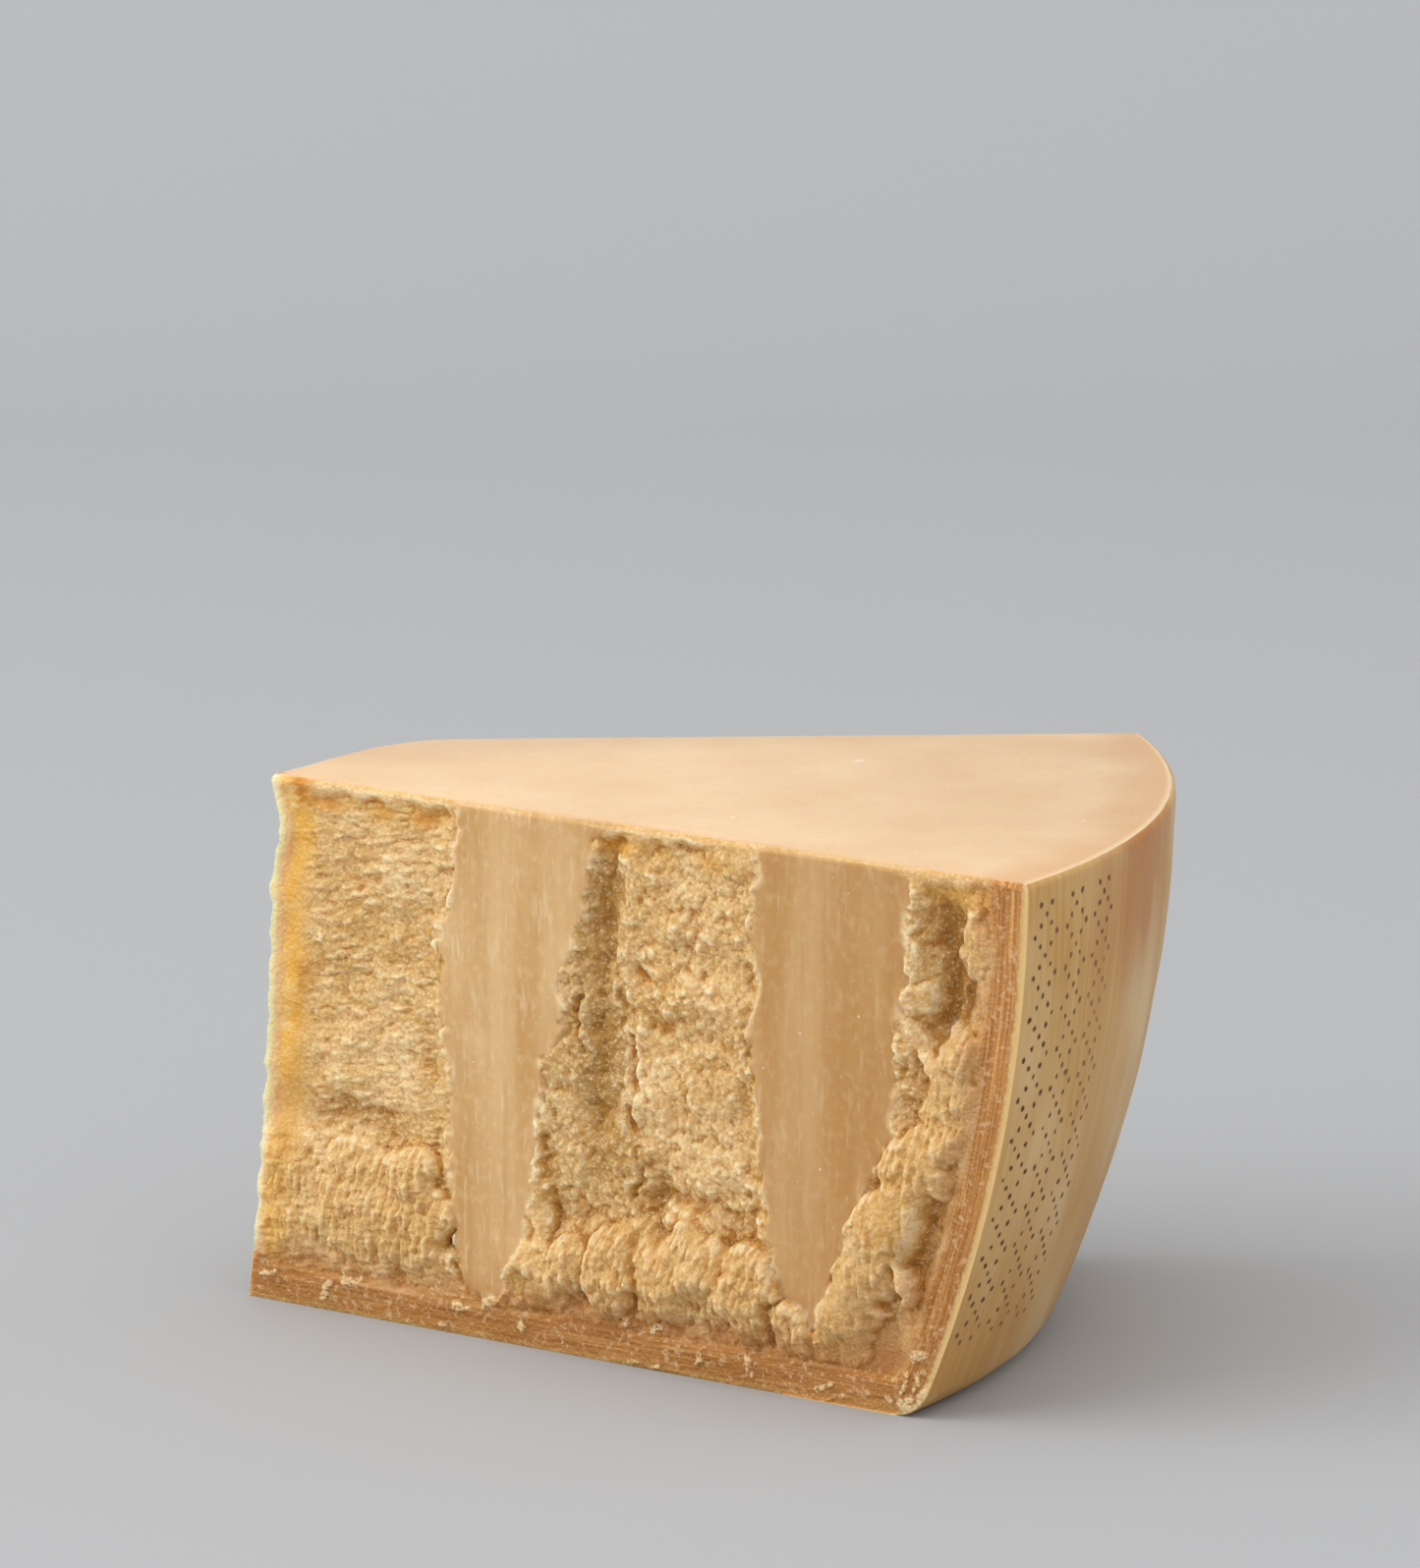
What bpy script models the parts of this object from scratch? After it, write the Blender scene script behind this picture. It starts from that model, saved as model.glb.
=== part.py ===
"""A large wedge of aged hard cheese, cut from a drum-shaped wheel.

The wheel is halved across its mid-height and then split into eighths. The wedge therefore has
one flat knife-cut face on top, two upright faces that were scored with knives and then broken
apart, and rind on its curved side and under its base. It is one solid piece.

Frame: metres, +Z up, origin at the middle of the base. +X points from the wedge's thin edge,
where the wheel's axis was, to the middle of the curved rind.
"""

import math

import bmesh
import bpy
from mathutils import Vector, noise

MM = 0.001

# Driving dimensions of the wheel and of the piece cut from it.
WHEEL_RADIUS = 205 * MM        # at the top cut, the widest height of the barrel-shaped side
WEDGE_HEIGHT = 124.4 * MM      # half of the wheel's height
SIDE_DRAW = 0.137              # share of the radius that the side loses down to the base
BASE_ROUND = 6 * MM            # radius of the rind's rounded lower edge
FRONT_ANGLE = -24.3            # degrees from +X to the front broken face
BACK_ANGLE = 24.0              # degrees from +X to the rind's far corner
RIND_THICKNESS = 9 * MM        # the dense layer, flush and unbroken along both faces

# The thin edge leans out towards the base and has one small notch near the top.
EDGE_LEAN = 8 * MM
NOTCH_HEIGHT = 112 * MM
NOTCH_DEPTH = 2.4 * MM
NOTCH_REACH = 7 * MM

# The back face starts in a rounded knee, because the break ran past the wheel's axis.
KNEE_START = Vector((14.0, 33.2)) * MM
KNEE_END = Vector((25.0, 45.4)) * MM

# Grain of the mesh: points along each side of the outline, and layers up the height.
FRONT_STEPS = 40
RIND_STEPS = 16
BACK_STEPS = 26
EDGE_STEPS = 6
LAYERS = 20
ROUND_LAYERS = 3

# The front face's broken strips as (start, end) from the wheel's axis, in millimetres.
# The knife tracks between them are flat.
FRONT_BROKEN = ((-12, 49), (78, 133), (171, 196))
BACK_BROKEN = ((18, 66), (92, 139), (158, 196))
STRIP_SOFTNESS = 4.0
STRIP_SETBACK = 1.2
BREAK_SWELL = 1.6              # height of the slow swells over a broken strip, in millimetres
SWELL_LENGTH = 17.0            # distance between those swells, in millimetres

# Lumps and hollows of the front face, in millimetres:
# along the face, up, half length along, half height up, how far it stands out.
FRONT_LUMPS = (
    (16, 24, 30, 17, 3.4),
    (40, 34, 10, 8, 2.2),
    (22, 48, 16, 5, -3.0),
    (93, 105, 5, 22, -5.0),
    (99, 62, 5, 26, -4.6),
    (88, 62, 8, 30, 2.0),
    (78, 18, 8, 9, 4.0),
    (94, 22, 8, 10, 5.0),
    (111, 23, 11, 12, 6.0),
    (129, 22, 10, 11, 5.0),
    (184, 100, 5, 18, -7.0),
    (178, 62, 10, 14, 4.5),
    (169, 44, 10, 17, 6.0),
    (160, 25, 8, 14, 5.0),
)

# Lumps and hollows of the back face, in the same five numbers.
BACK_LUMPS = (
    (40, 30, 20, 16, 3.5),
    (52, 84, 12, 20, -3.5),
    (104, 62, 9, 30, 3.0),
    (128, 46, 8, 24, -4.0),
    (116, 20, 18, 12, 4.5),
    (178, 88, 8, 18, -4.5),
    (172, 38, 12, 20, 4.5),
)


def clear_scene():
    """Remove whatever the scene already holds."""
    for item in list(bpy.data.objects):
        bpy.data.objects.remove(item, do_unlink=True)


def ramp(value, low, high):
    """Ease from 0 at low to 1 at high."""
    share = min(max((value - low) / (high - low), 0.0), 1.0)
    return share * share * (3.0 - 2.0 * share)


def rind_radius(height):
    """Radius of the wheel's side: a shallow barrel that ends in a rounded lower edge."""
    drop = (WEDGE_HEIGHT - height) / WEDGE_HEIGHT
    radius = WHEEL_RADIUS * (1.0 - SIDE_DRAW * drop * drop)
    if height < BASE_ROUND:
        reach = (BASE_ROUND - height) / BASE_ROUND
        radius -= BASE_ROUND * (1.0 - math.sqrt(1.0 - reach * reach))
    return radius


def edge_offset(height):
    """Where the thin edge lies along the front face, counted from the wheel's axis."""
    drop = (WEDGE_HEIGHT - height) / WEDGE_HEIGHT
    notch = math.exp(-((height - NOTCH_HEIGHT) / NOTCH_REACH) ** 2)
    return -1.0 * MM - EDGE_LEAN * drop * drop + NOTCH_DEPTH * notch


def broken_share(along, strips):
    """1 on a broken strip, 0 on a flat knife track, for a place in millimetres."""
    share = 0.0
    for start, end in strips:
        inside = ramp(along, start - STRIP_SOFTNESS, start + STRIP_SOFTNESS)
        inside *= 1.0 - ramp(along, end - STRIP_SOFTNESS, end + STRIP_SOFTNESS)
        share = max(share, inside)
    return share


def relief(along, height, strips, lumps, seed):
    """How far a broken face stands out of its flat plane, in metres."""
    along_mm = along / MM
    height_mm = height / MM
    swell = noise.noise(Vector((along_mm, height_mm, seed)) / SWELL_LENGTH)
    depth = broken_share(along_mm, strips) * (BREAK_SWELL * swell - STRIP_SETBACK)
    for centre, level, half_along, half_up, proud in lumps:
        across = (along_mm - centre) / half_along
        upright = (height_mm - level) / half_up
        depth += proud * math.exp(-(across * across + upright * upright))
    flush_base = ramp(height, RIND_THICKNESS * 0.5, RIND_THICKNESS * 1.6)
    flush_top = 1.0 - ramp(height, WEDGE_HEIGHT - 9 * MM, WEDGE_HEIGHT - 1 * MM)
    flush_rim = 1.0 - ramp(along, rind_radius(height) - 1.6 * RIND_THICKNESS,
                           rind_radius(height) - 0.6 * RIND_THICKNESS)
    return depth * MM * flush_base * flush_top * flush_rim


def side_points(start, end, count, height, strips, lumps, seed, fade_ends=(True, True)):
    """Points of one upright face at one height, from start up to but not including end."""
    run = end - start
    outward = Vector((run.y, -run.x)).normalized()
    points = []
    for step in range(count):
        share = step / count
        place = start + run * share
        depth = relief(place.length, height, strips, lumps, seed)
        if fade_ends[0]:
            depth *= ramp(share, 0.0, 0.06)
        if fade_ends[1]:
            depth *= 1.0 - ramp(share, 0.94, 1.0)
        points.append(place + outward * depth)
    return points


def outline(height):
    """The wedge's outline at one height, counter-clockwise, with the wheel's axis at 0, 0."""
    front = math.radians(FRONT_ANGLE)
    back = math.radians(BACK_ANGLE)
    radius = rind_radius(height)
    edge = Vector((math.cos(front), math.sin(front))) * edge_offset(height)
    front_rim = Vector((math.cos(front), math.sin(front))) * radius
    back_rim = Vector((math.cos(back), math.sin(back))) * radius
    points = side_points(edge, front_rim, FRONT_STEPS, height, FRONT_BROKEN, FRONT_LUMPS, 3.0)
    for step in range(RIND_STEPS):
        angle = front + (back - front) * step / RIND_STEPS
        points.append(Vector((math.cos(angle), math.sin(angle))) * radius)
    points += side_points(back_rim, KNEE_END, BACK_STEPS, height, BACK_BROKEN, BACK_LUMPS, 47.0)
    points += side_points(KNEE_END, KNEE_START, 2, height, (), (), 0.0)
    points += side_points(KNEE_START, edge, EDGE_STEPS, height, (), (), 0.0)
    return points


def layer_heights():
    """Heights of the layers: close together round the lower edge, then even."""
    heights = []
    for step in range(ROUND_LAYERS):
        turn = math.radians(90.0) * step / ROUND_LAYERS
        heights.append(BASE_ROUND * (1.0 - math.cos(turn)))
    for step in range(LAYERS + 1):
        heights.append(BASE_ROUND + (WEDGE_HEIGHT - BASE_ROUND) * step / LAYERS)
    return heights


def add_ring(mesh, height):
    """One closed ring of edges at one height."""
    verts = [mesh.verts.new((point.x, point.y, height)) for point in outline(height)]
    return [mesh.edges.new((verts[i - 1], verts[i])) for i in range(len(verts))]


def build_wedge():
    """Stack the rings, bridge them into walls, and close the base and the top cut."""
    mesh = bmesh.new()
    rings = [add_ring(mesh, height) for height in layer_heights()]
    for lower, upper in zip(rings, rings[1:]):
        bmesh.ops.bridge_loops(mesh, edges=lower + upper)
    for ring in (rings[0], rings[-1]):
        bmesh.ops.contextual_create(mesh, geom=ring)
    bmesh.ops.recalc_face_normals(mesh, faces=mesh.faces)
    bmesh.ops.triangulate(mesh, faces=mesh.faces)
    low = [min(vert.co[axis] for vert in mesh.verts) for axis in range(2)]
    high = [max(vert.co[axis] for vert in mesh.verts) for axis in range(2)]
    middle = Vector(((low[0] + high[0]) / 2, (low[1] + high[1]) / 2, 0.0))
    bmesh.ops.translate(mesh, verts=mesh.verts, vec=-middle)
    return mesh


def cheese_material():
    """Aged cheese paste: a dense, waxy straw yellow."""
    material = bpy.data.materials.new("aged_cheese")
    material.use_nodes = True
    shader = material.node_tree.nodes["Principled BSDF"]
    shader.inputs["Base Color"].default_value = (0.61, 0.38, 0.16, 1.0)
    shader.inputs["Roughness"].default_value = 0.55
    shader.inputs["Metallic"].default_value = 0.0
    return material


def main():
    clear_scene()
    mesh = build_wedge()
    data = bpy.data.meshes.new("cheese_wedge")
    mesh.to_mesh(data)
    mesh.free()
    data.materials.append(cheese_material())
    wedge = bpy.data.objects.new("cheese_wedge", data)
    bpy.context.scene.collection.objects.link(wedge)
    data.shade_smooth()
    data.set_sharp_from_angle(angle=math.radians(40))


main()
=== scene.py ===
# %% [markdown]
# # A wedge of aged hard cheese
# The object is an eighth of a drum-shaped wheel of hard cheese, cut off at half the wheel's
# height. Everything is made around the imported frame: it gives the box that the wedge fills,
# and the visual model keeps to that box.

# %% load the frame
import math

import bmesh
import bpy
import numpy as np
from mathutils import Euler, Matrix, Vector, noise


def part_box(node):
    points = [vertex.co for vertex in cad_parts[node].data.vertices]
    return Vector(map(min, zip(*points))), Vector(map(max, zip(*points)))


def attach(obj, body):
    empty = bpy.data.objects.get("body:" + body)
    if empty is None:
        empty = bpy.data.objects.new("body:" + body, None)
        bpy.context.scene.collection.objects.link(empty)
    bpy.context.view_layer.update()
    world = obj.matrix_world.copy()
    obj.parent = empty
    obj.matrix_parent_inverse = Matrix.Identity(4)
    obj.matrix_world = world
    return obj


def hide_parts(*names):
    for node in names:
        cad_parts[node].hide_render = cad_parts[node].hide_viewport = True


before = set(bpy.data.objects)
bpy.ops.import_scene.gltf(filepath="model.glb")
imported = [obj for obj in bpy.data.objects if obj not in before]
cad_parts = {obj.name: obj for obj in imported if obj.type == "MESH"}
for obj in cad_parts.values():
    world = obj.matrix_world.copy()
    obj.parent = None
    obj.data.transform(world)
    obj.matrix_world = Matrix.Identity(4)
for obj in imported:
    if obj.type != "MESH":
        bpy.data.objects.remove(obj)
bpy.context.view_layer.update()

low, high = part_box("cheese_wedge")
print("frame box, mm:", [round(1000 * side) for side in high - low])

# %% [markdown]
# ## The wheel behind the wedge
# All sizes come from the wheel that the wedge was cut from. Its axis stood at the wedge's thin
# edge, so places on an upright face are easiest to give as a distance along the face from that
# axis and a height above the base, both in millimetres. The wheel's side is a shallow barrel
# that is widest at the top cut, so its radius is one short formula of the height.

# %% the wheel's sizes
MM = 0.001
HEIGHT = high.z / MM
RADIUS = 205.0
SIDE_DRAW = 0.137
BASE_ROUND = 6.0
FRONT_ANGLE = math.radians(-24.3)
BACK_ANGLE = math.radians(24.0)
AXIS_X = high.x / MM - RADIUS
AXIS_Y = low.y / MM - RADIUS * math.sin(FRONT_ANGLE)
print("wheel axis at, mm:", round(AXIS_X, 1), round(AXIS_Y, 1))


def ramp(value, start, end):
    """Ease from 0 at start to 1 at end, for a number or an array."""
    share = np.clip((value - start) / (end - start), 0.0, 1.0)
    return share * share * (3.0 - 2.0 * share)


def rind_radius(height):
    """The barrel-shaped side, ending in a rounded lower edge."""
    drop = (HEIGHT - height) / HEIGHT
    reach = np.clip((BASE_ROUND - height) / BASE_ROUND, 0.0, 1.0)
    return RADIUS * (1.0 - SIDE_DRAW * drop**2) - BASE_ROUND * (1.0 - np.sqrt(1.0 - reach**2))


def edge_offset(height):
    """The thin edge leans out towards the base and has one notch near the top."""
    drop = (HEIGHT - height) / HEIGHT
    return -1.0 - 8.0 * drop**2 + 2.4 * np.exp(-(((height - 112.0) / 7.0) ** 2))


# %% [markdown]
# ## A fine skin on the plain wedge
# The broken faces need real relief, down to crumbs of about a millimetre, so they need a dense
# and even net of points. One ring of points is drawn round the base, extruded up the wedge's
# height and cut into rows. Each point remembers its column, so all the shaping that follows can
# be done on plain arrays of rows and columns.

# %% the net of points
SIDES = {"front": 430, "rind": 120, "back": 176, "knee": 16, "facet": 40}
COLUMNS = sum(SIDES.values())
ROWS = 276


def wedge_net():
    """A prism: one ring of points, extruded up and cut into rows."""
    mesh = bmesh.new()
    column_layer = mesh.verts.layers.int.new("column")
    ring = []
    for column in range(COLUMNS):
        turn = 2.0 * math.pi * column / COLUMNS
        vert = mesh.verts.new((math.cos(turn), math.sin(turn), 0.0))
        vert[column_layer] = column
        ring.append(vert)
    edges = [mesh.edges.new((ring[i - 1], ring[i])) for i in range(COLUMNS)]
    made = bmesh.ops.extrude_edge_only(mesh, edges=edges)["geom"]
    raised = [item for item in made if isinstance(item, bmesh.types.BMVert)]
    bmesh.ops.translate(mesh, verts=raised, vec=(0.0, 0.0, 1.0))
    upright = [edge for edge in mesh.edges if edge.verts[0].co.z != edge.verts[1].co.z]
    bmesh.ops.subdivide_edges(mesh, edges=upright, cuts=ROWS - 1, use_grid_fill=True)
    return mesh


net = wedge_net()
print("net:", len(net.verts), "points,", len(net.faces), "faces")

# %% [markdown]
# ## The plain wedge on the net
# Each side is a straight run between two corners, apart from the rind, which is an arc. The
# corners move with the height, because the rind's side is a barrel and the thin edge leans. The
# knee is rounded by averaging each point there with its neighbours, many times over.

# %% plain places and outward directions
heights = HEIGHT * np.arange(ROWS + 1)[:, None] / ROWS
KNEE_END = (25.0, 45.4)
KNEE_START = (14.0, 33.2)
KNEE_PASSES = 60
KNEE_BEFORE = 24
KNEE_AFTER = 30


def on_ray(angle, reach):
    """Points at a distance from the wheel's axis, at one angle."""
    return np.stack((reach * math.cos(angle), reach * math.sin(angle)), axis=-1)


def straight_run(start, end, count):
    """Points from start up to, but not including, end, for every row."""
    share = (np.arange(count) / count)[None, :, None]
    return start * (1.0 - share) + end * share


def plain_places():
    """Where every point of the net lies before any relief, from the wheel's axis."""
    radius = rind_radius(heights)
    thin_edge = on_ray(FRONT_ANGLE, edge_offset(heights))
    knee_end = np.zeros((ROWS + 1, 1, 2)) + KNEE_END
    knee_start = np.zeros((ROWS + 1, 1, 2)) + KNEE_START
    turn = FRONT_ANGLE + (BACK_ANGLE - FRONT_ANGLE) * np.arange(SIDES["rind"]) / SIDES["rind"]
    arc = np.stack((radius * np.cos(turn), radius * np.sin(turn)), axis=-1)
    front = straight_run(thin_edge, on_ray(FRONT_ANGLE, radius), SIDES["front"])
    back = straight_run(on_ray(BACK_ANGLE, radius), knee_end, SIDES["back"])
    knee = straight_run(knee_end, knee_start, SIDES["knee"])
    facet = straight_run(knee_start, thin_edge, SIDES["facet"])
    return np.concatenate((front, arc, back, knee, facet), axis=1)


def outward_directions(places):
    """Unit vectors square to the ring at every point."""
    along = np.roll(places, -3, axis=1) - np.roll(places, 3, axis=1)
    across = np.stack((along[..., 1], -along[..., 0]), axis=-1)
    return across / np.linalg.norm(across, axis=-1, keepdims=True)


places = plain_places()
back_end = SIDES["front"] + SIDES["rind"] + SIDES["back"]
knee_columns = slice(back_end - KNEE_BEFORE, COLUMNS - KNEE_AFTER)
for _ in range(KNEE_PASSES):
    middle = 0.5 * places + 0.25 * (np.roll(places, 1, axis=1) + np.roll(places, -1, axis=1))
    places[:, knee_columns] = middle[:, knee_columns]
outward = outward_directions(places)
corners = places.reshape(-1, 2)
print("plain wedge, mm:", np.round(corners.min(0)), "to", np.round(corners.max(0)))

# %% [markdown]
# ## Noise in millimetres
# Smooth noise gives slow swells and ragged borders. It is asked for by the width of its swells
# in millimetres, so its size on the cheese is always known.


# %% smooth noise
NOISE_GAIN = 1.6


def swells(along, up, size, seed):
    """Smooth noise from about -1 to 1 whose features are about `size` mm wide."""
    flat = zip((along / size).ravel(), (up / size).ravel())
    values = np.array([noise.noise(Vector((a, b, seed))) for a, b in flat])
    return values.reshape(along.shape) * NOISE_GAIN


def blurred(values, reach):
    """Mean over a square of rows and columns that reaches this many points each way."""
    for axis in (0, 1):
        padded = np.concatenate(
            [np.repeat(values.take([0], axis), reach + 1, axis), values,
             np.repeat(values.take([-1], axis), reach, axis)], axis)
        summed = np.cumsum(padded, axis=axis)
        size = values.shape[axis]
        width = 2 * reach + 1
        values = (summed.take(range(width, width + size), axis)
                  - summed.take(range(size), axis)) / width
    return values


print("a swell of 10 mm is", round(10.0 * ROWS / HEIGHT), "rows high")

# %% [markdown]
# ## A heap of curd grains
# This cheese breaks around its curd grains, so a broken face is a heap of small round grains
# with sharp creases between them. Displacing with cell noise gives flat-topped tiles, so the
# grains are laid one by one instead: each is a small dome, and where two overlap the higher one
# shows. Each grain also gets a tone of its own, which the material turns into pale and amber.

# %% grains
GRAIN_CROWD = 0.42


def grain_heap(along, up, size, seed, stretch=1.0, lean=0.0):
    """Surface of a heap of grains about `size` mm wide, in mm, and each grain's tone, 0 to 1."""
    picker = np.random.default_rng(seed)
    first, last = along.min(), along.max()
    count = int((last - first) * HEIGHT / (GRAIN_CROWD * stretch * size**2))
    centres = picker.uniform(first, last, count)
    levels = picker.uniform(0.0, HEIGHT, count)
    radii = 0.5 * size * picker.uniform(0.6, 1.4, count)
    sunk = picker.uniform(0.0, 0.9, count) * radii
    lots = picker.uniform(0.0, 1.0, count)
    heap = np.zeros(along.shape)
    tone = np.full(along.shape, 0.5)
    for centre, level, radius, drop, lot in zip(centres, levels, radii, sunk, lots):
        wide = radius * stretch
        row = level * ROWS / HEIGHT
        tall = (radius + abs(lean) * wide) * ROWS / HEIGHT
        rows = slice(max(int(row - tall), 0), int(row + tall) + 2)
        columns = slice(*np.searchsorted(along[int(row)], (centre - wide, centre + wide)))
        across = along[rows, columns] - centre
        above = up[rows, columns] - level - lean * across
        grain = np.sqrt(np.clip(radius**2 - (across / stretch) ** 2 - above**2, 0.0, None)) - drop
        higher = grain > heap[rows, columns]
        heap[rows, columns][higher] = grain[higher]
        tone[rows, columns][higher] = lot
    return heap, tone


print("grains in a heap of 2 mm on 100 x 100 mm:", int(100.0**2 / (GRAIN_CROWD * 2.0**2)))

# %% [markdown]
# ## Lumps, hollows, valleys and cracks
# The larger forms are drawn with four simple shapes. A mound has soft sides and may also be a
# hollow. A lump starts steeply at its outline, like a boulder. A valley and a crack follow a
# path of points given as (height, along), with soft or sharp sides.


# %% simple shapes
def border(points, up):
    """The place along the face of a line at each height."""
    levels, alongs = zip(*points)
    return np.interp(up, levels, alongs)


def mound(along, up, centre, level, half_along, half_up, proud):
    """A soft mound or, where proud is negative, a hollow."""
    reach = ((along - centre) / half_along) ** 2 + ((up - level) / half_up) ** 2
    return proud * np.exp(-reach)


def lump(along, up, centre, level, half_along, half_up, proud, lean=0.0):
    """A boulder-like lump: nothing outside its outline, steep at it, round on top."""
    across = (along - centre - lean * (up - level)) / half_along
    reach = across**2 + ((up - level) / half_up) ** 2
    return proud * np.clip(1.0 - reach**1.5, 0.0, None) ** 0.65


def valley(along, up, path, half_width, depth, fade):
    """A valley along a path, fading out at its ends over `fade` mm."""
    bottom, top = path[0][0], path[-1][0]
    across = (along - border(path, up)) / half_width
    span = ramp(up, bottom - fade, bottom + fade) * (1.0 - ramp(up, top - fade, top + fade))
    return -depth * np.exp(-across**2) * span


print("a 5 mm lump, halfway out to its outline, mm:", round(lump(0.5, 0.0, 0.0, 0.0, 1.0, 1.0, 5.0), 1))

# %% [markdown]
# ## How the front face was opened
# Short knives were pushed in and the wheel was forced apart, so there are two flat knife tracks
# between three broken strips. Below them the cheese tore off in lumps above the base rind. The
# places are along the face from the wheel's axis and up from the base, in millimetres.

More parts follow.
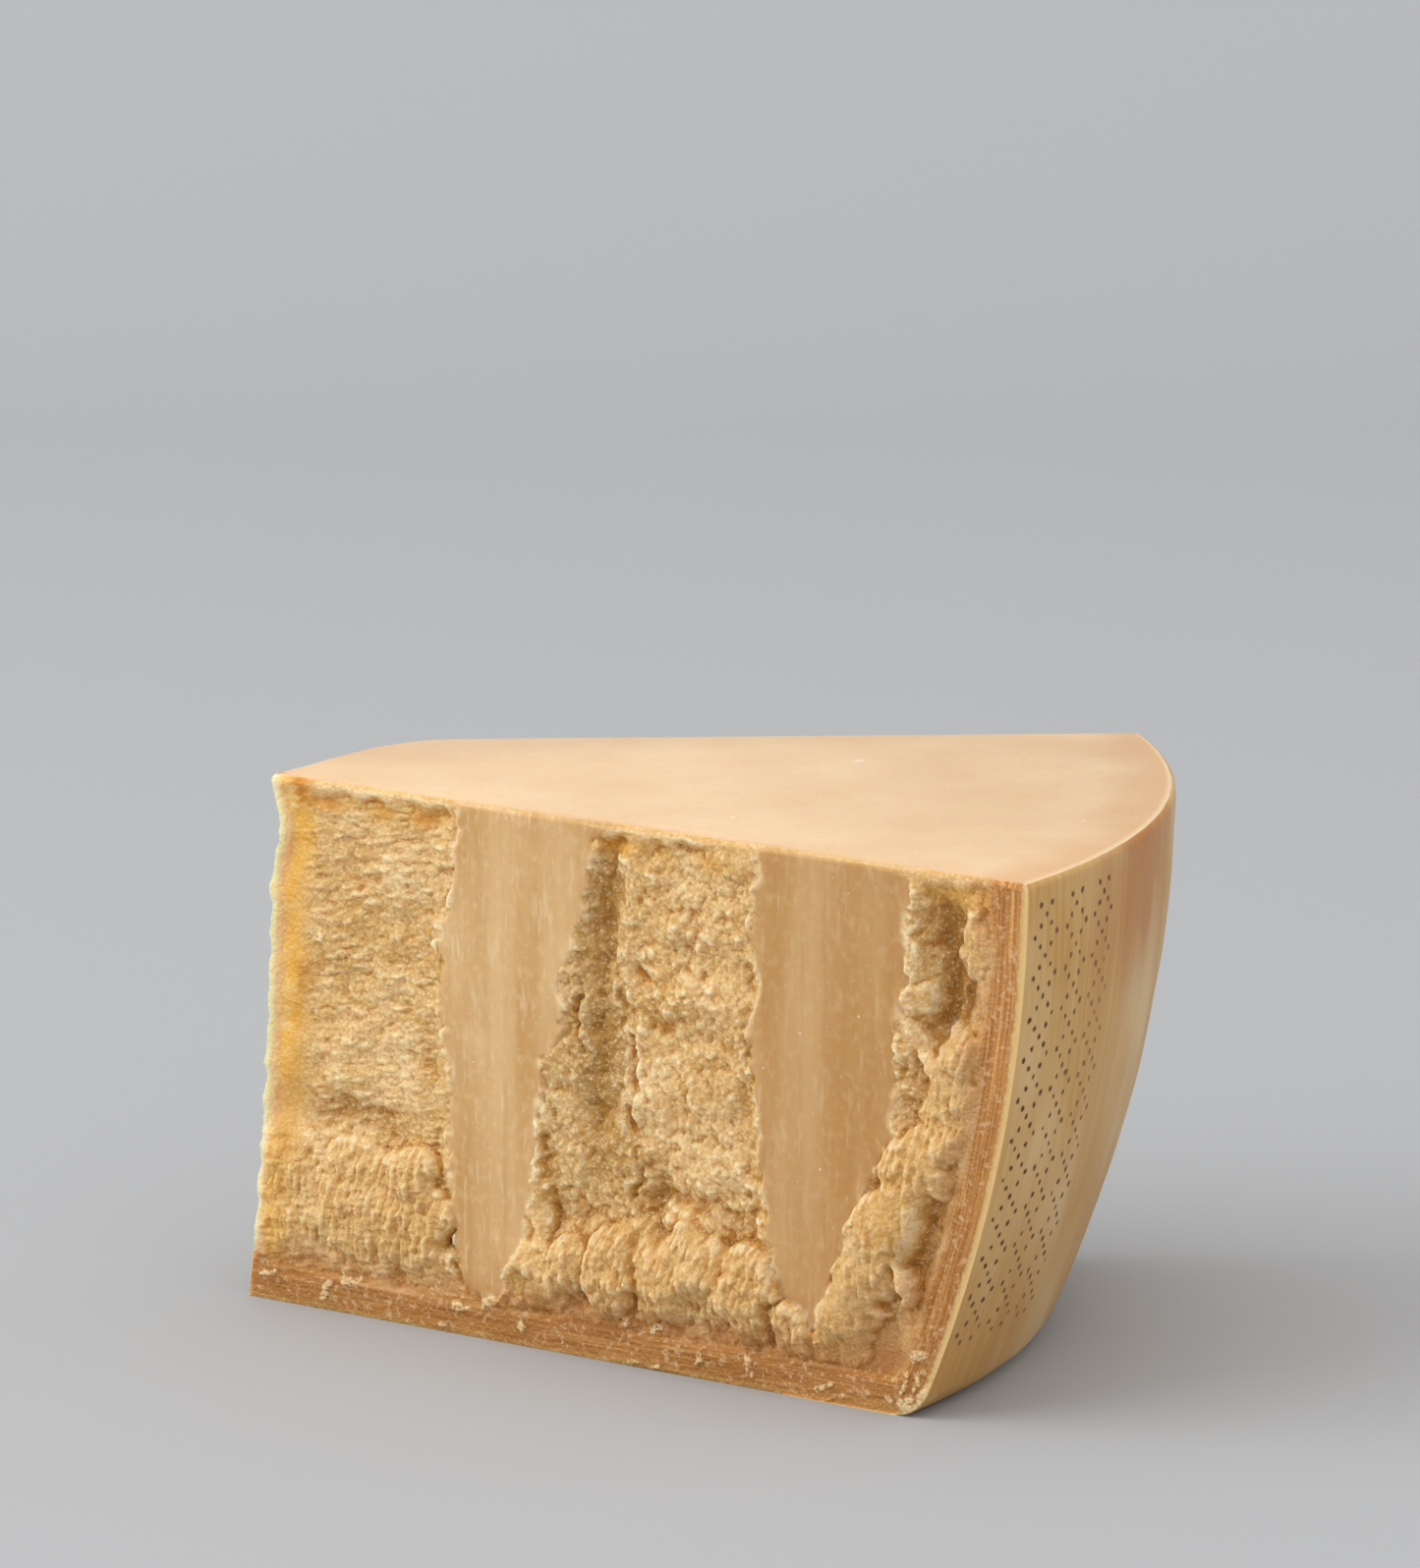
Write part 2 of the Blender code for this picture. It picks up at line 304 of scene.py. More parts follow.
# %% the front face's borders and forms
FRONT = {
    # Each track: its left and right border as (height, along), and the height it ends at.
    "tracks": (
        (((9, 57), (13, 52.5), (22, 50.5), (32, 49), (63, 49), (71, 47), (78, 46.5), (95, 46.5),
          (102, 49.5), (112, 50.5), (125, 52)),
         ((10, 63), (18, 66), (23, 69), (32, 71), (41, 72), (58, 74), (68, 75), (73, 79.5),
          (83, 79.5), (89, 80), (95, 83), (112, 88), (125, 92)), 10.0),
        (((17, 149), (20.5, 144.5), (23, 140), (28, 138.5), (35, 137), (43, 136), (52, 134),
          (60, 134.5), (68, 133), (75, 131), (83, 131.5), (91, 134.5), (102, 132), (125, 134.5)),
         ((17, 150), (25, 152.5), (31, 155), (37, 157), (43, 160), (50, 163), (57, 166), (63, 170),
          (75, 170), (92, 171.5), (102, 174), (112, 173), (125, 175)), 17.0),
    ),
    # Mounds and hollows: along, up, half along, half up, how far it stands out.
    "mounds": (
        (18, 47, 14, 3.0, -2.4), (20, 78, 16, 14, -0.6), (33, 102, 7, 5, 0.8), (14, 86, 4, 4, 1.2),
        (38, 78, 4, 2.5, 0.9), (86, 82, 4, 6, 0.8), (83, 56, 4, 16, 0.7), (92, 78, 5, 8, -1.4),
        (92, 60, 4, 6, -0.8), (94, 44, 6, 10, 1.8), (82, 33, 7, 5, -2.4), (113, 86, 7, 3.5, 1.8),
        (124, 87, 6, 3.5, 1.9), (107, 80, 4, 3.0, -1.8), (117, 77, 7, 3.5, -1.6), (112, 62, 9, 7, 1.2),
        (125, 45, 8, 5, 1.4), (105, 39, 4, 8, -2.2), (120, 40, 16, 3.0, -2.2), (132, 79, 2.4, 4, -2.8),
        (100.5, 90, 2.5, 2.0, -2.0), (188.5, 97, 2.2, 6.0, -4.0), (176, 79, 3.0, 4, -1.6),
        (168, 12, 5, 7, -1.0), (104, 15, 3, 3, -1.2), (86, 12, 1.8, 3, -1.6), (137, 13, 3, 3, -1.8),
    ),
    # Valleys: path, half width, depth, fade.
    "valleys": (
        (((88, 91.5), (98, 90.5), (105, 91.5), (114, 93), (122, 94.5)), 4.0, 2.6, 5.0),
        (((40, 93), (52, 91), (70, 91), (90, 91)), 3.6, 1.3, 8.0),
        (((86, 181.5), (95, 183), (105, 183.5), (116, 182.5)), 4.2, 5.0, 6.0),
    ),
    "cracks": (
        (((30, 76.5), (45, 75.2), (58, 75)), 0.8, 1.8, 4.0),
        (((70, 84.5), (80, 82.5), (86, 83)), 0.7, 1.6, 3.0),
        (((36, 101.2), (50, 99.6), (62, 99), (78, 98), (88, 96)), 0.9, 1.8, 4.0),
        (((24, 173), (30, 172), (36, 171)), 0.7, 2.0, 2.0),
        (((104, 186.5), (110, 185.6)), 0.8, 2.4, 1.5),
        (((8, 54), (16, 50.8), (22, 49), (30, 47.2)), 0.9, 2.0, 3.0),
    ),
    # Lumps: along, up, half along, half up, how far it stands out, lean.
    "lumps": (
        (2, 24, 24, 18.4, 3.4), (22, 24, 16, 18.6, 3.8), (38, 36, 7.5, 7.4, 4.8), (37, 24, 13, 13, 4.0),
        (44, 13, 9, 9, 3.0), (18, 14, 10, 8, 3.4), (73, 17, 8, 9, 4.4, 0.2), (81, 19, 6.5, 9.5, 5.8, 0.3),
        (94, 21, 7.5, 11.5, 6.8, 0.2), (105, 22, 5.5, 11, 5.6, 0.1), (103, 30, 8.5, 5, 3.0),
        (114, 22.5, 9.5, 12.5, 6.8, 0.15), (122, 23, 6, 11, 5.6), (131, 22, 8.0, 11.5, 6.6),
        (143, 15, 6.5, 6, 4.4), (150, 12, 6, 5, 3.2), (64, 14, 6, 5, 2.8, 0.6), (73, 37, 3.4, 21, 1.4),
        (157, 17, 7.0, 10, 5.0), (160, 24, 8.5, 10, 5.6, 0.3), (163.5, 31, 9.5, 11, 6.2, 0.35),
        (167, 38, 10, 11.5, 6.2, 0.4), (171, 46, 10, 11, 6.2, 0.4), (175, 54, 9.5, 10.5, 6.0, 0.4),
        (178, 60, 8.5, 7.5, 5.4, 0.3), (174, 31, 2.4, 7, 6.6),
        (190, 108, 5, 9.5, 2.6), (187.5, 84, 6, 8, 3.8), (181, 78, 4.6, 6, 2.8), (181, 69, 5.2, 7, 3.2),
        (175.5, 95, 5.2, 4, 1.8), (174.5, 84, 4, 6, 1.6), (186, 70, 6.5, 10, 3), (174, 108, 3.6, 10, 1.4),
    ),
    # Calm places, where the paste came away smooth: along, up, half along, half up, share.
    "calm": (
        (167, 11, 6.5, 9, 1.0), (183, 102, 5, 13, 1.0), (92, 104, 3.5, 12, 0.5), (72, 34, 3.5, 20, 0.6),
        (160, 30, 7, 10, 0.55), (170, 46, 6, 10, 0.5), (178, 90, 5.0, 16, 0.6), (155, 16, 6, 8, 0.4),
    ),
    # The grains change from round to stretched between these two places along the face.
    "torn": (62.0, 40.0),
    # Scraps smeared over the base rind: along, up, half along, half up, lean.
    "scraps": (
        (13.0, 4.5, 1.5, 3.2, 0.45), (20.0, 8.0, 3.5, 1.2, 0.0), (-4.0, 6.0, 2.4, 0.9, 1.2),
        (69.0, 4.6, 0.9, 2.6, 0.3), (80.0, 4.0, 0.4, 2.8, -0.2), (101.5, 1.8, 2.2, 0.7, 1.0),
        (107.5, 1.4, 1.4, 0.6, 1.0), (118.5, 5.2, 0.9, 3.2, 0.5), (131.5, 5.0, 1.2, 3.4, -0.25),
        (151.0, 3.2, 1.6, 0.8, 1.2), (156.5, 2.0, 1.5, 0.7, 1.2), (47.0, 2.0, 1.6, 0.6, 0.0),
        (60.0, 9.0, 3.0, 1.6, 1.0), (52.0, 7.0, 3.0, 1.2, -0.6), (177.0, 14.5, 2.6, 1.2, 0.3),
        (173.0, 7.0, 0.9, 4.0, 0.3), (177.0, 8.5, 0.9, 3.0, 0.4), (169.0, 3.0, 1.6, 1.4, 0.0),
        (105.5, 9.8, 2.0, 0.8, 0.0), (97.5, 10.0, 0.8, 1.6, 0.0),
        (181.0, 5.0, 4.5, 5.0, 0.3), (186.0, 12.0, 2.0, 5.0, 0.4), (174.0, 3.0, 3.0, 2.0, 0.0),
    ),
}
print("front:", len(FRONT["mounds"]), "mounds,", len(FRONT["lumps"]), "lumps")

# %% [markdown]
# ## One function for a broken face
# Both cut sides broke in the same way, so the same functions make the relief of either from its
# table. Lumps are merged by a power mean, which fills the crease where two of them meet, as in
# paste that tore in one piece. Grains of four sizes lie on top of these forms, round where the
# paste snapped and stretched where it tore.

# %% the larger forms and the grains
RIND_DEPTH = 9.0
RECESS = 1.4
BIG_GRAIN = 3.2
SMALL_GRAIN = 1.5
TORN_GRAIN = 1.3
TORN_STRETCH = 3.2
TORN_LEAN = 0.16
CLOD = 6.5
MERGING = 5.0
OUTSIDE = -99.0


def inside_tracks(along, up, tracks):
    """How far inside a knife track each place lies, in mm, negative outside."""
    inside = np.full(along.shape, OUTSIDE)
    for left, right, foot in tracks:
        one = np.minimum(along - border(left, up), border(right, up) - along)
        inside = np.maximum(inside, np.minimum(one, up - foot))
    return inside


def slow_forms(near, high_up, inside, face, seed):
    """The larger forms of the broken strips, and how much of a lump each place is."""
    slow = -RECESS + 0.8 * swells(near, high_up, 17.0, seed + 10)
    slow += 0.6 * swells(near, high_up, 6.5, seed + 11)
    for feature in face["mounds"]:
        slow += mound(near, high_up, *feature)
    for path, half_width, depth, fade in face["valleys"]:
        slow += valley(near, high_up, path, half_width, depth, fade)
    slow *= 0.25 + 0.75 * ramp(-inside, 0.0, 5.0)
    lumps = np.zeros(near.shape)
    for feature in face["lumps"]:
        lumps += lump(near, high_up, *feature) ** MERGING
    lumps **= 1.0 / MERGING
    lumps *= 0.3 + 0.7 * ramp(high_up, RIND_DEPTH, 2.2 * RIND_DEPTH)
    broken_line = ramp(swells(near, high_up, 5.0, seed + 12), -0.5, 0.2)
    for path, half_width, depth, fade in face["cracks"]:
        slow += valley(near, high_up, path, half_width, depth, fade) * broken_line
    return slow + lumps, ramp(lumps, 0.4, 3.0)


def grain_relief(along, up, face, seed):
    """Heaps of grains: round ones, and small stretched ones where the paste tore."""
    clods, clod_tone = grain_heap(along, up, CLOD, seed + 3, stretch=1.25, lean=0.2)
    big, big_tone = grain_heap(along, up, BIG_GRAIN, seed)
    small, small_tone = grain_heap(along, up, SMALL_GRAIN, seed + 1)
    torn, torn_tone = grain_heap(along, up, TORN_GRAIN, seed + 2, TORN_STRETCH, face.get("lean", TORN_LEAN))
    share = ramp(along, *face["torn"])
    rough = share * (1.0 * torn + 0.25 * small + 0.2 * clods)
    rough += (1.0 - share) * (0.32 * clods + 0.42 * big + 0.7 * small)
    tone = share * (0.75 * torn_tone + 0.25 * clod_tone)
    tone += (1.0 - share) * (0.3 * clod_tone + 0.3 * big_tone + 0.4 * small_tone)
    return rough - rough.mean(), tone


print("grain sizes, mm:", CLOD, BIG_GRAIN, SMALL_GRAIN, TORN_GRAIN)

# %% [markdown]
# ## Putting a broken face together
# Every outline is warped by noise first, or it would look drawn. Then the parts are put
# together. Upright strands lie on the lumps, a knife track has a small broken lip along its
# borders, and pale flakes stand up beside it.

# %% relief of a broken face
STRAND = 4.2
STRAND_STRETCH = 0.32
FLAKE = 3.4
FLAKE_RISE = 2.2


def warp(along, up, seed):
    """How far noise shifts the outlines, in mm."""
    return 1.8 * swells(along, up, 8.0, seed) + 0.7 * swells(along, up, 2.6, seed + 1)


def scrap_mask(along, up, ragged, scraps):
    """Where scraps of paste stick to the rind, from 0 to 1."""
    mask = np.zeros(along.shape)
    for centre, level, half_along, half_up, lean in scraps:
        sheared = along - lean * (up - level) + 0.7 * ragged
        scrap = mound(sheared, up + 0.7 * ragged, centre, level, half_along, half_up, 1.0)
        mask = np.maximum(mask, scrap)
    return ramp(mask, 0.35, 0.6)


def broken_face(along, up, face, seed):
    """A dictionary of grids for one face: relief in mm, and masks from 0 to 1."""
    near, high_up = along + warp(along, up, seed), up + warp(along, up, seed + 2)
    ragged = 1.2 * swells(along, up, 4.6, seed + 4) + 0.8 * swells(along, up, 1.8, seed + 5)
    inside = inside_tracks(along, up, face["tracks"]) + ragged
    flat = ramp(inside, -0.5, 0.6)
    slow, lumpy = slow_forms(near, high_up, inside, face, seed)
    rough, tone = grain_relief(along, up, face, seed)
    calm = np.zeros(along.shape)
    for feature in face["calm"]:
        calm += mound(near, high_up, *feature)
    strands, _ = grain_heap(along, up, STRAND, seed + 6, STRAND_STRETCH, lean=1.2)
    rough = rough * (1.0 - 0.25 * lumpy) + 0.4 * lumpy * (strands - strands.mean())
    rough += 0.12 * swells(along, up, 0.9, seed + 7)
    rough *= 1.0 - np.clip(calm, 0.0, 0.85)
    lip_line = ramp(swells(along, up, 8.0, seed + 14), -0.4, 0.4)
    lip = 0.45 * np.exp(-((inside - 0.9) / 1.5) ** 2) * (0.6 + 0.7 * ragged) * lip_line
    skin = 0.10 * swells(along * 5.0, up, 40.0, seed + 8) + 0.2 * swells(along, up, 18.0, seed + 9)
    flakes = ramp(swells(along, up, FLAKE, seed + 13) + 0.3 * inside, 0.1, 0.4) * (1.0 - flat)
    broken = slow + rough
    broken += flakes * np.clip(0.4 - broken, 0.0, FLAKE_RISE)
    return {
        "relief": flat * (skin + lip) + (1.0 - flat) * broken,
        "flatness": flat,
        "tone": np.maximum(tone, 0.9 * flakes),
        "lumpy": lumpy * (1.0 - flat),
        "lip": np.exp(-((inside / 1.2) ** 2)) * lip_line,
        "scraps": scrap_mask(along, up, ragged, face["scraps"]),
    }


print("strands, mm tall and wide:", STRAND, round(STRAND * STRAND_STRETCH, 1))

# %% the front face's relief
front_columns = slice(0, SIDES["front"])
front_ray = np.array((math.cos(FRONT_ANGLE), math.sin(FRONT_ANGLE)))
front_along = places[:, front_columns] @ front_ray
front_up = heights + 0.0 * front_along
front = broken_face(front_along, front_up, FRONT, 100)
print("front relief, mm:", round(front["relief"].min(), 1), "to", round(front["relief"].max(), 1))

# %% [markdown]
# ## The back face
# The far side was opened in the same way, with one knife track. The break ran past the wheel's
# axis, so the face turns a rounded knee and comes back to the thin edge. Its table is laid out
# like the front's, and its places are counted from the rind's far corner.

# %% the back face's relief
BACK = {
    "tracks": (
        (((16, 77), (30, 71), (60, 68), (90, 66), (125, 62)),
         ((16, 79), (30, 90), (60, 94), (90, 97), (125, 99)), 16.0),
    ),
    "mounds": (
        (40, 92, 5, 22, -5.0), (118, 84, 10, 14, 1.8), (134, 60, 8, 18, -2.6), (160, 80, 12, 9, 2.0),
        (186, 66, 9, 20, -2.0), (112, 60, 5, 8, -1.6), (52, 70, 5, 8, 1.4), (20, 100, 6, 9, 1.2),
    ),
    "valleys": (
        (((50, 128), (80, 124), (110, 127)), 3.6, 2.8, 6.0),
        (((46, 58), (70, 55), (96, 57)), 3.6, 2.2, 6.0),
    ),
    "cracks": (
        (((20, 104), (50, 101), (80, 103)), 0.9, 1.8, 4.0),
        (((40, 170), (70, 166), (96, 170)), 0.9, 1.8, 4.0),
    ),
    "lumps": (
        (24, 22, 15, 15, 4.2, -0.2), (44, 30, 13, 19, 4.8, -0.15), (58, 17, 10, 10, 3.6),
        (101, 17, 11, 10, 3.8), (117, 27, 14, 17, 5.0, 0.15), (139, 20, 14, 13, 4.2),
        (160, 30, 15, 17, 4.8, -0.1), (184, 20, 15, 13, 4.2), (204, 26, 13, 15, 3.6),
        (88, 12, 7, 6, 2.6),
        (30, 54, 12, 16, 2.8), (148, 98, 14, 11, 2.2), (22, 84, 9, 14, 2.4), (113, 52, 8, 9, 2.0),
    ),
    "calm": ((40, 92, 5, 16, 0.7), (126, 80, 4, 14, 0.5)),
    "torn": (135.0, 165.0),
    "lean": -0.16,
    "scraps": (
        (30, 4, 1.0, 3.0, 0.3), (46, 3, 2.4, 0.9, 0.8), (82, 5, 1.2, 3.2, -0.3), (104, 2.4, 2, 0.8, 0.8),
        (130, 5, 1.0, 3.4, 0.4), (158, 3, 1.8, 1.0, 0.8), (190, 5, 1.2, 3.0, -0.2), (14, 9, 3.5, 3, 0.0),
    ),
}
back_columns = slice(SIDES["front"] + SIDES["rind"], COLUMNS)
steps = np.linalg.norm(np.diff(places[:, back_columns], axis=1), axis=-1)
back_along = np.concatenate((np.zeros((ROWS + 1, 1)), np.cumsum(steps, axis=1)), axis=1)
back_up = heights + 0.0 * back_along
back = broken_face(back_along, back_up, BACK, 300)
print("back relief, mm:", round(back["relief"].min(), 1), "to", round(back["relief"].max(), 1))

# %% [markdown]
# ## The rind stays firm
# The rind is dense and doesn't crumble, so the broken faces are flush along it, and so they are
# right under the top cut and at the thin edge. The rind's own side is only a little uneven,
# from the cloth that the wheel was pressed in.

# %% how much relief is kept
EDGE_CALM_FROM = 2.0
EDGE_CALM_TO = 11.0
EDGE_CALM_ABOVE = 40.0
EDGE_BLUR = 5
radius = rind_radius(heights)
rind_columns = slice(SIDES["front"], SIDES["front"] + SIDES["rind"])
share_round = np.arange(SIDES["rind"])[None, :] / SIDES["rind"]
arc_along = share_round * radius * (BACK_ANGLE - FRONT_ANGLE)
arc_up = heights + 0.0 * arc_along


def flush(along_to_rim, along_to_edge, up, seed):
    """How much relief is kept: none over the base rind, the side rind, the top and the thin edge."""
    uneven = 0.8 * swells(along_to_rim, up, 5.0, seed)
    keep = ramp(up + 0.5 * uneven, RIND_DEPTH - 1.6, RIND_DEPTH - 0.2)
    keep = keep * ramp(HEIGHT - up + 1.4 * uneven, 1.4, 4.8)
    keep = keep * ramp(along_to_rim + uneven, RIND_DEPTH - 1.0, RIND_DEPTH + 3.5)
    return keep * ramp(along_to_edge, 0.0, 3.0)


def rind_relief(along, up):
    """The rind's side: slow waves, and fine upright ones from the cloth."""
    waves = 0.22 * swells(along, up, 22.0, 53.0) + 0.07 * swells(along * 3.0, up, 9.0, 54.0)
    ends = ramp(share_round, 0.0, 0.04) * (1.0 - ramp(share_round, 0.96, 1.0))
    return waves * ends * ramp(HEIGHT - up, 0.5, 4.0)


front_keep = flush(radius - front_along, front_along - edge_offset(heights), front_up, 51.0)
back_keep = flush(back_along, back_along[:, -1:] - back_along, back_up, 52.0)
crumbly = np.maximum(ramp(front_along, EDGE_CALM_FROM, EDGE_CALM_TO), front_up < EDGE_CALM_ABOVE)
smooth_front = blurred(front["relief"], EDGE_BLUR)
front["relief"] = smooth_front + (front["relief"] - smooth_front) * crumbly
print("relief kept on the front face, share:", round(front_keep.mean(), 2))

# %% [markdown]
# ## One depth for every point
# The three parts are joined in one grid. Scraps of paste add a little thickness over the rind,
# the top edge is rounded over by a millimetre, and the thin edge is chipped. Each point is then
# pushed outward by its depth.

# %% relief of the whole ring
SCRAP_THICKNESS = 1.0
TOP_ROUND = 2.0
TOP_SOFTNESS = 0.9
EDGE_CHIPS = 0.45
CHIP_REACH = 2.5
NO_EDGE = 999.0


def ring_grid(front_part, rind_part, back_part):
    """One grid for the whole ring of columns."""
    grid = np.zeros((ROWS + 1, COLUMNS))
    grid[:, front_columns] = front_part
    grid[:, rind_columns] = rind_part
    grid[:, back_columns] = back_part
    return grid


for face in (front, back):
    face["scraps"] *= ramp(heights, 0.0, 0.8)
    face["scrap_depth"] = SCRAP_THICKNESS * (face["scraps"] * face["tone"])
rind_depth = rind_relief(arc_along, arc_up)
depth = ring_grid(front["relief"] * front_keep, rind_depth, back["relief"] * back_keep)
depth += ring_grid(front["scrap_depth"], 0.0, back["scrap_depth"])
depth -= TOP_SOFTNESS * ramp(heights, HEIGHT - TOP_ROUND, HEIGHT) ** 2
to_edge = ring_grid(front_along - edge_offset(heights), NO_EDGE, back_along[:, -1:] - back_along)
ring_up = heights + np.zeros(COLUMNS)
chips = swells(0.0 * ring_up, ring_up, 5.0, 81.0) + 0.7 * swells(0.0 * ring_up, ring_up, 2.2, 82.0)
above_rind = ramp(ring_up, RIND_DEPTH, RIND_DEPTH + 5.0)
depth += EDGE_CHIPS * chips * np.exp(-((to_edge / CHIP_REACH) ** 2)) * above_rind
print("relief, mm:", round(depth.min(), 1), "to", round(depth.max(), 1))

# %% [markdown]
# ## What the materials need to know
# Light goes into this cheese, and much of what it does is painted into the colour by the shape:
# a painted amber glow where light shines through the thin edge and just under the top cut,
# deeper amber a little farther in, a painted cream highlight along the very edge, olive painted
# shade in deep valleys, amber painted shade in hollows and a pale painted highlight on crests.
# The paste is also browner just above the base rind, and a patch in one slit is painted shade.
# Those places are known here, so they are kept as grids, and each point gets them as attributes
# below.

# %% masks of light and of dryness
# Painted glow and highlight: the amber bands stand in for light shining through the thin edge and just
# under the top cut, and the cream band for a highlight along the very edge.
EDGE_AMBER_AT = 5.0
EDGE_AMBER_HALF = 3.8
DEEP_AMBER_AT = 7.2
DEEP_AMBER_HALF = 2.6
CREAM_HALF = 2.2
UNDER_TOP_AT = 4.0
UNDER_TOP_HALF = 2.4
# Painted shade: olive patches laid into the colour in the deep valleys and hollows, where shade falls.
VALLEY_SHADE_PLACES = (
    # along, up, half along, half up, share
    (91, 107, 3.8, 15, 0.8), (92, 74, 5.0, 18, 0.7), (94, 50, 7.0, 16, 0.6), (77.5, 44, 2.0, 14, 0.6),
    (85, 70, 6, 30, 0.6),
    (183, 102, 4.5, 15, 0.9), (188.5, 97, 2.2, 6, 0.9), (132, 79, 2.5, 4, 0.9), (104, 40, 3.0, 8, 0.6),
    (18, 46, 12, 3.0, 0.4), (137, 22, 2.5, 6, 0.4), (138, 13, 4, 3, 0.4),
)
# Browner patches just above the base rind and under the lumps; the patch in the slit at (189, 96) is
# painted shade.
BROWN_PLACES = (
    # along, up, half along, half up, share
    (167, 11, 6.5, 10, 1.0), (10, 12, 6, 3, 0.6), (130, 11, 5, 3, 0.8), (145, 12, 8, 4, 0.6),
    (76, 11, 12, 3, 0.5), (105, 11, 20, 3, 0.6), (189, 96, 2.5, 5, 0.6), (50, 12, 8, 2, 0.3),
)


def band(distance, centre, half_width):
    """1 at a distance, fading to 0 on both sides of it."""
    return np.exp(-(((distance - centre) / half_width) ** 2))


def patches(places):
    """Soft round patches on the front face, from 0 to 1."""
    mask = np.zeros(front_along.shape)
    for feature in places:
        mask += mound(front_along, front_up, *feature)
    return np.clip(mask, 0.0, 1.0)


patchy = 0.75 + 0.45 * swells(ring_grid(front_along, 0.0, back_along), ring_up, 9.0, 71.0)
# Painted glow just under the top cut, added to the amber masks.
under_top = band(HEIGHT - ring_up - 2.0 * patchy, UNDER_TOP_AT, UNDER_TOP_HALF)
under_top *= ring_grid(1.0 - front["flatness"], 0.0, 0.5) * ramp(patchy, 0.3, 1.0)
amber = band(to_edge, EDGE_AMBER_AT, EDGE_AMBER_HALF) * (0.45 + 0.55 * ramp(ring_up, 42.0, 64.0))
amber = np.clip(np.maximum(amber, 0.5 * under_top) * (0.5 + 0.5 * patchy), 0.0, 1.0)
deep = band(to_edge, DEEP_AMBER_AT, DEEP_AMBER_HALF) * ramp(ring_up, 46.0, 62.0)
deep = np.clip(np.maximum(deep, 0.6 * under_top) * ramp(patchy, 0.6, 1.2), 0.0, 1.0)
print("amber on the net, mean share:", round(amber.mean(), 3))

# %% [markdown]
# ## Hollows, and points that slide
# A hollow is where the surface lies below its own average nearby, and a basin is the same over
# a wider reach. Points that can only move in and out make a comb-like relief, so on loose
# crumbs each point also slides a little sideways and up or down.

# %% places of all points, and their masks
HOLLOW_REACH = 4
BASIN_REACH = 22
SLIDE = 0.3
SLIDE_SIZE = 1.7
hollow = blurred(depth, HOLLOW_REACH) - depth
basin = blurred(depth, BASIN_REACH) - depth
slide_place = np.arange(COLUMNS) * HEIGHT / ROWS + 0.0 * heights
loose = ring_grid(1.0 - front["flatness"], 0.0, 1.0 - back["flatness"]) * ramp(np.abs(depth), 0.2, 1.0)
side_slide = SLIDE * swells(slide_place, ring_up, SLIDE_SIZE, 61.0) * loose
drop_slide = SLIDE * swells(slide_place, ring_up, SLIDE_SIZE, 62.0) * loose
ring_way = np.stack((-outward[..., 1], outward[..., 0]), axis=-1)
shaped = places + outward * depth[..., None] + ring_way * side_slide[..., None]
shaped_up = ring_up + drop_slide
shaped_up[0] = 0.0
shaped_up[-1] = HEIGHT
side_reach = radius - np.linalg.norm(shaped, axis=-1)
grids = {name: ring_grid(front[name], 0.0, back[name]) for name in ("lip", "lumpy", "scraps")}
grids |= {
    "flatness": ring_grid(front["flatness"], 1.0, back["flatness"]),
    "tone": ring_grid(front["tone"], 0.5, back["tone"]),
    "hollow": hollow,
    "basin": basin,
    "rind_reach": np.minimum(side_reach, shaped_up),
    "side_reach": side_reach,
    "rim_reach": ring_grid(radius - front_along, 0.0, back_along),
    "along_face": ring_grid(front_along, arc_along, back_along),
    "amber": amber,
    "deep_amber": deep,
    "cream": band(to_edge, 0.0, CREAM_HALF),
    "olive": ring_grid(patches(VALLEY_SHADE_PLACES), 0.0, 0.0),
    "brown": ring_grid(patches(BROWN_PLACES), 0.0, 0.5 * ramp(back_up, 15.0, 9.0)),
}
print("hollows, mm:", round(hollow.min(), 2), "to", round(hollow.max(), 2))


# %% move the net's points
def scatter(mesh):
    """Move the net's points to their places and store each grid's values on them."""
    column_layer = mesh.verts.layers.int["column"]
    layers = {name: mesh.verts.layers.float.new(name) for name in grids}
    for vert in mesh.verts:
        column = vert[column_layer]
        row = round(vert.co.z * ROWS)
        place = shaped[row, column]
        vert.co = ((place[0] + AXIS_X) * MM, (place[1] + AXIS_Y) * MM, shaped_up[row, column] * MM)
        for name, grid in grids.items():
            vert[layers[name]] = grid[row, column]


scatter(net)
print("attributes on each point:", len(grids))

# %% [markdown]
# ## Closing the top and the base
# Each open end is filled with one face. The top's is lowered by 0.4 mm, inset by 0.9 mm and
# lifted to its height again, so the knife's edge is crisp but not razor sharp.

# %% close the ends
PASTE, RIND, TOP_CUT, BASE = range(4)
EDGE_DROP = 0.4
EDGE_INSET = 0.9


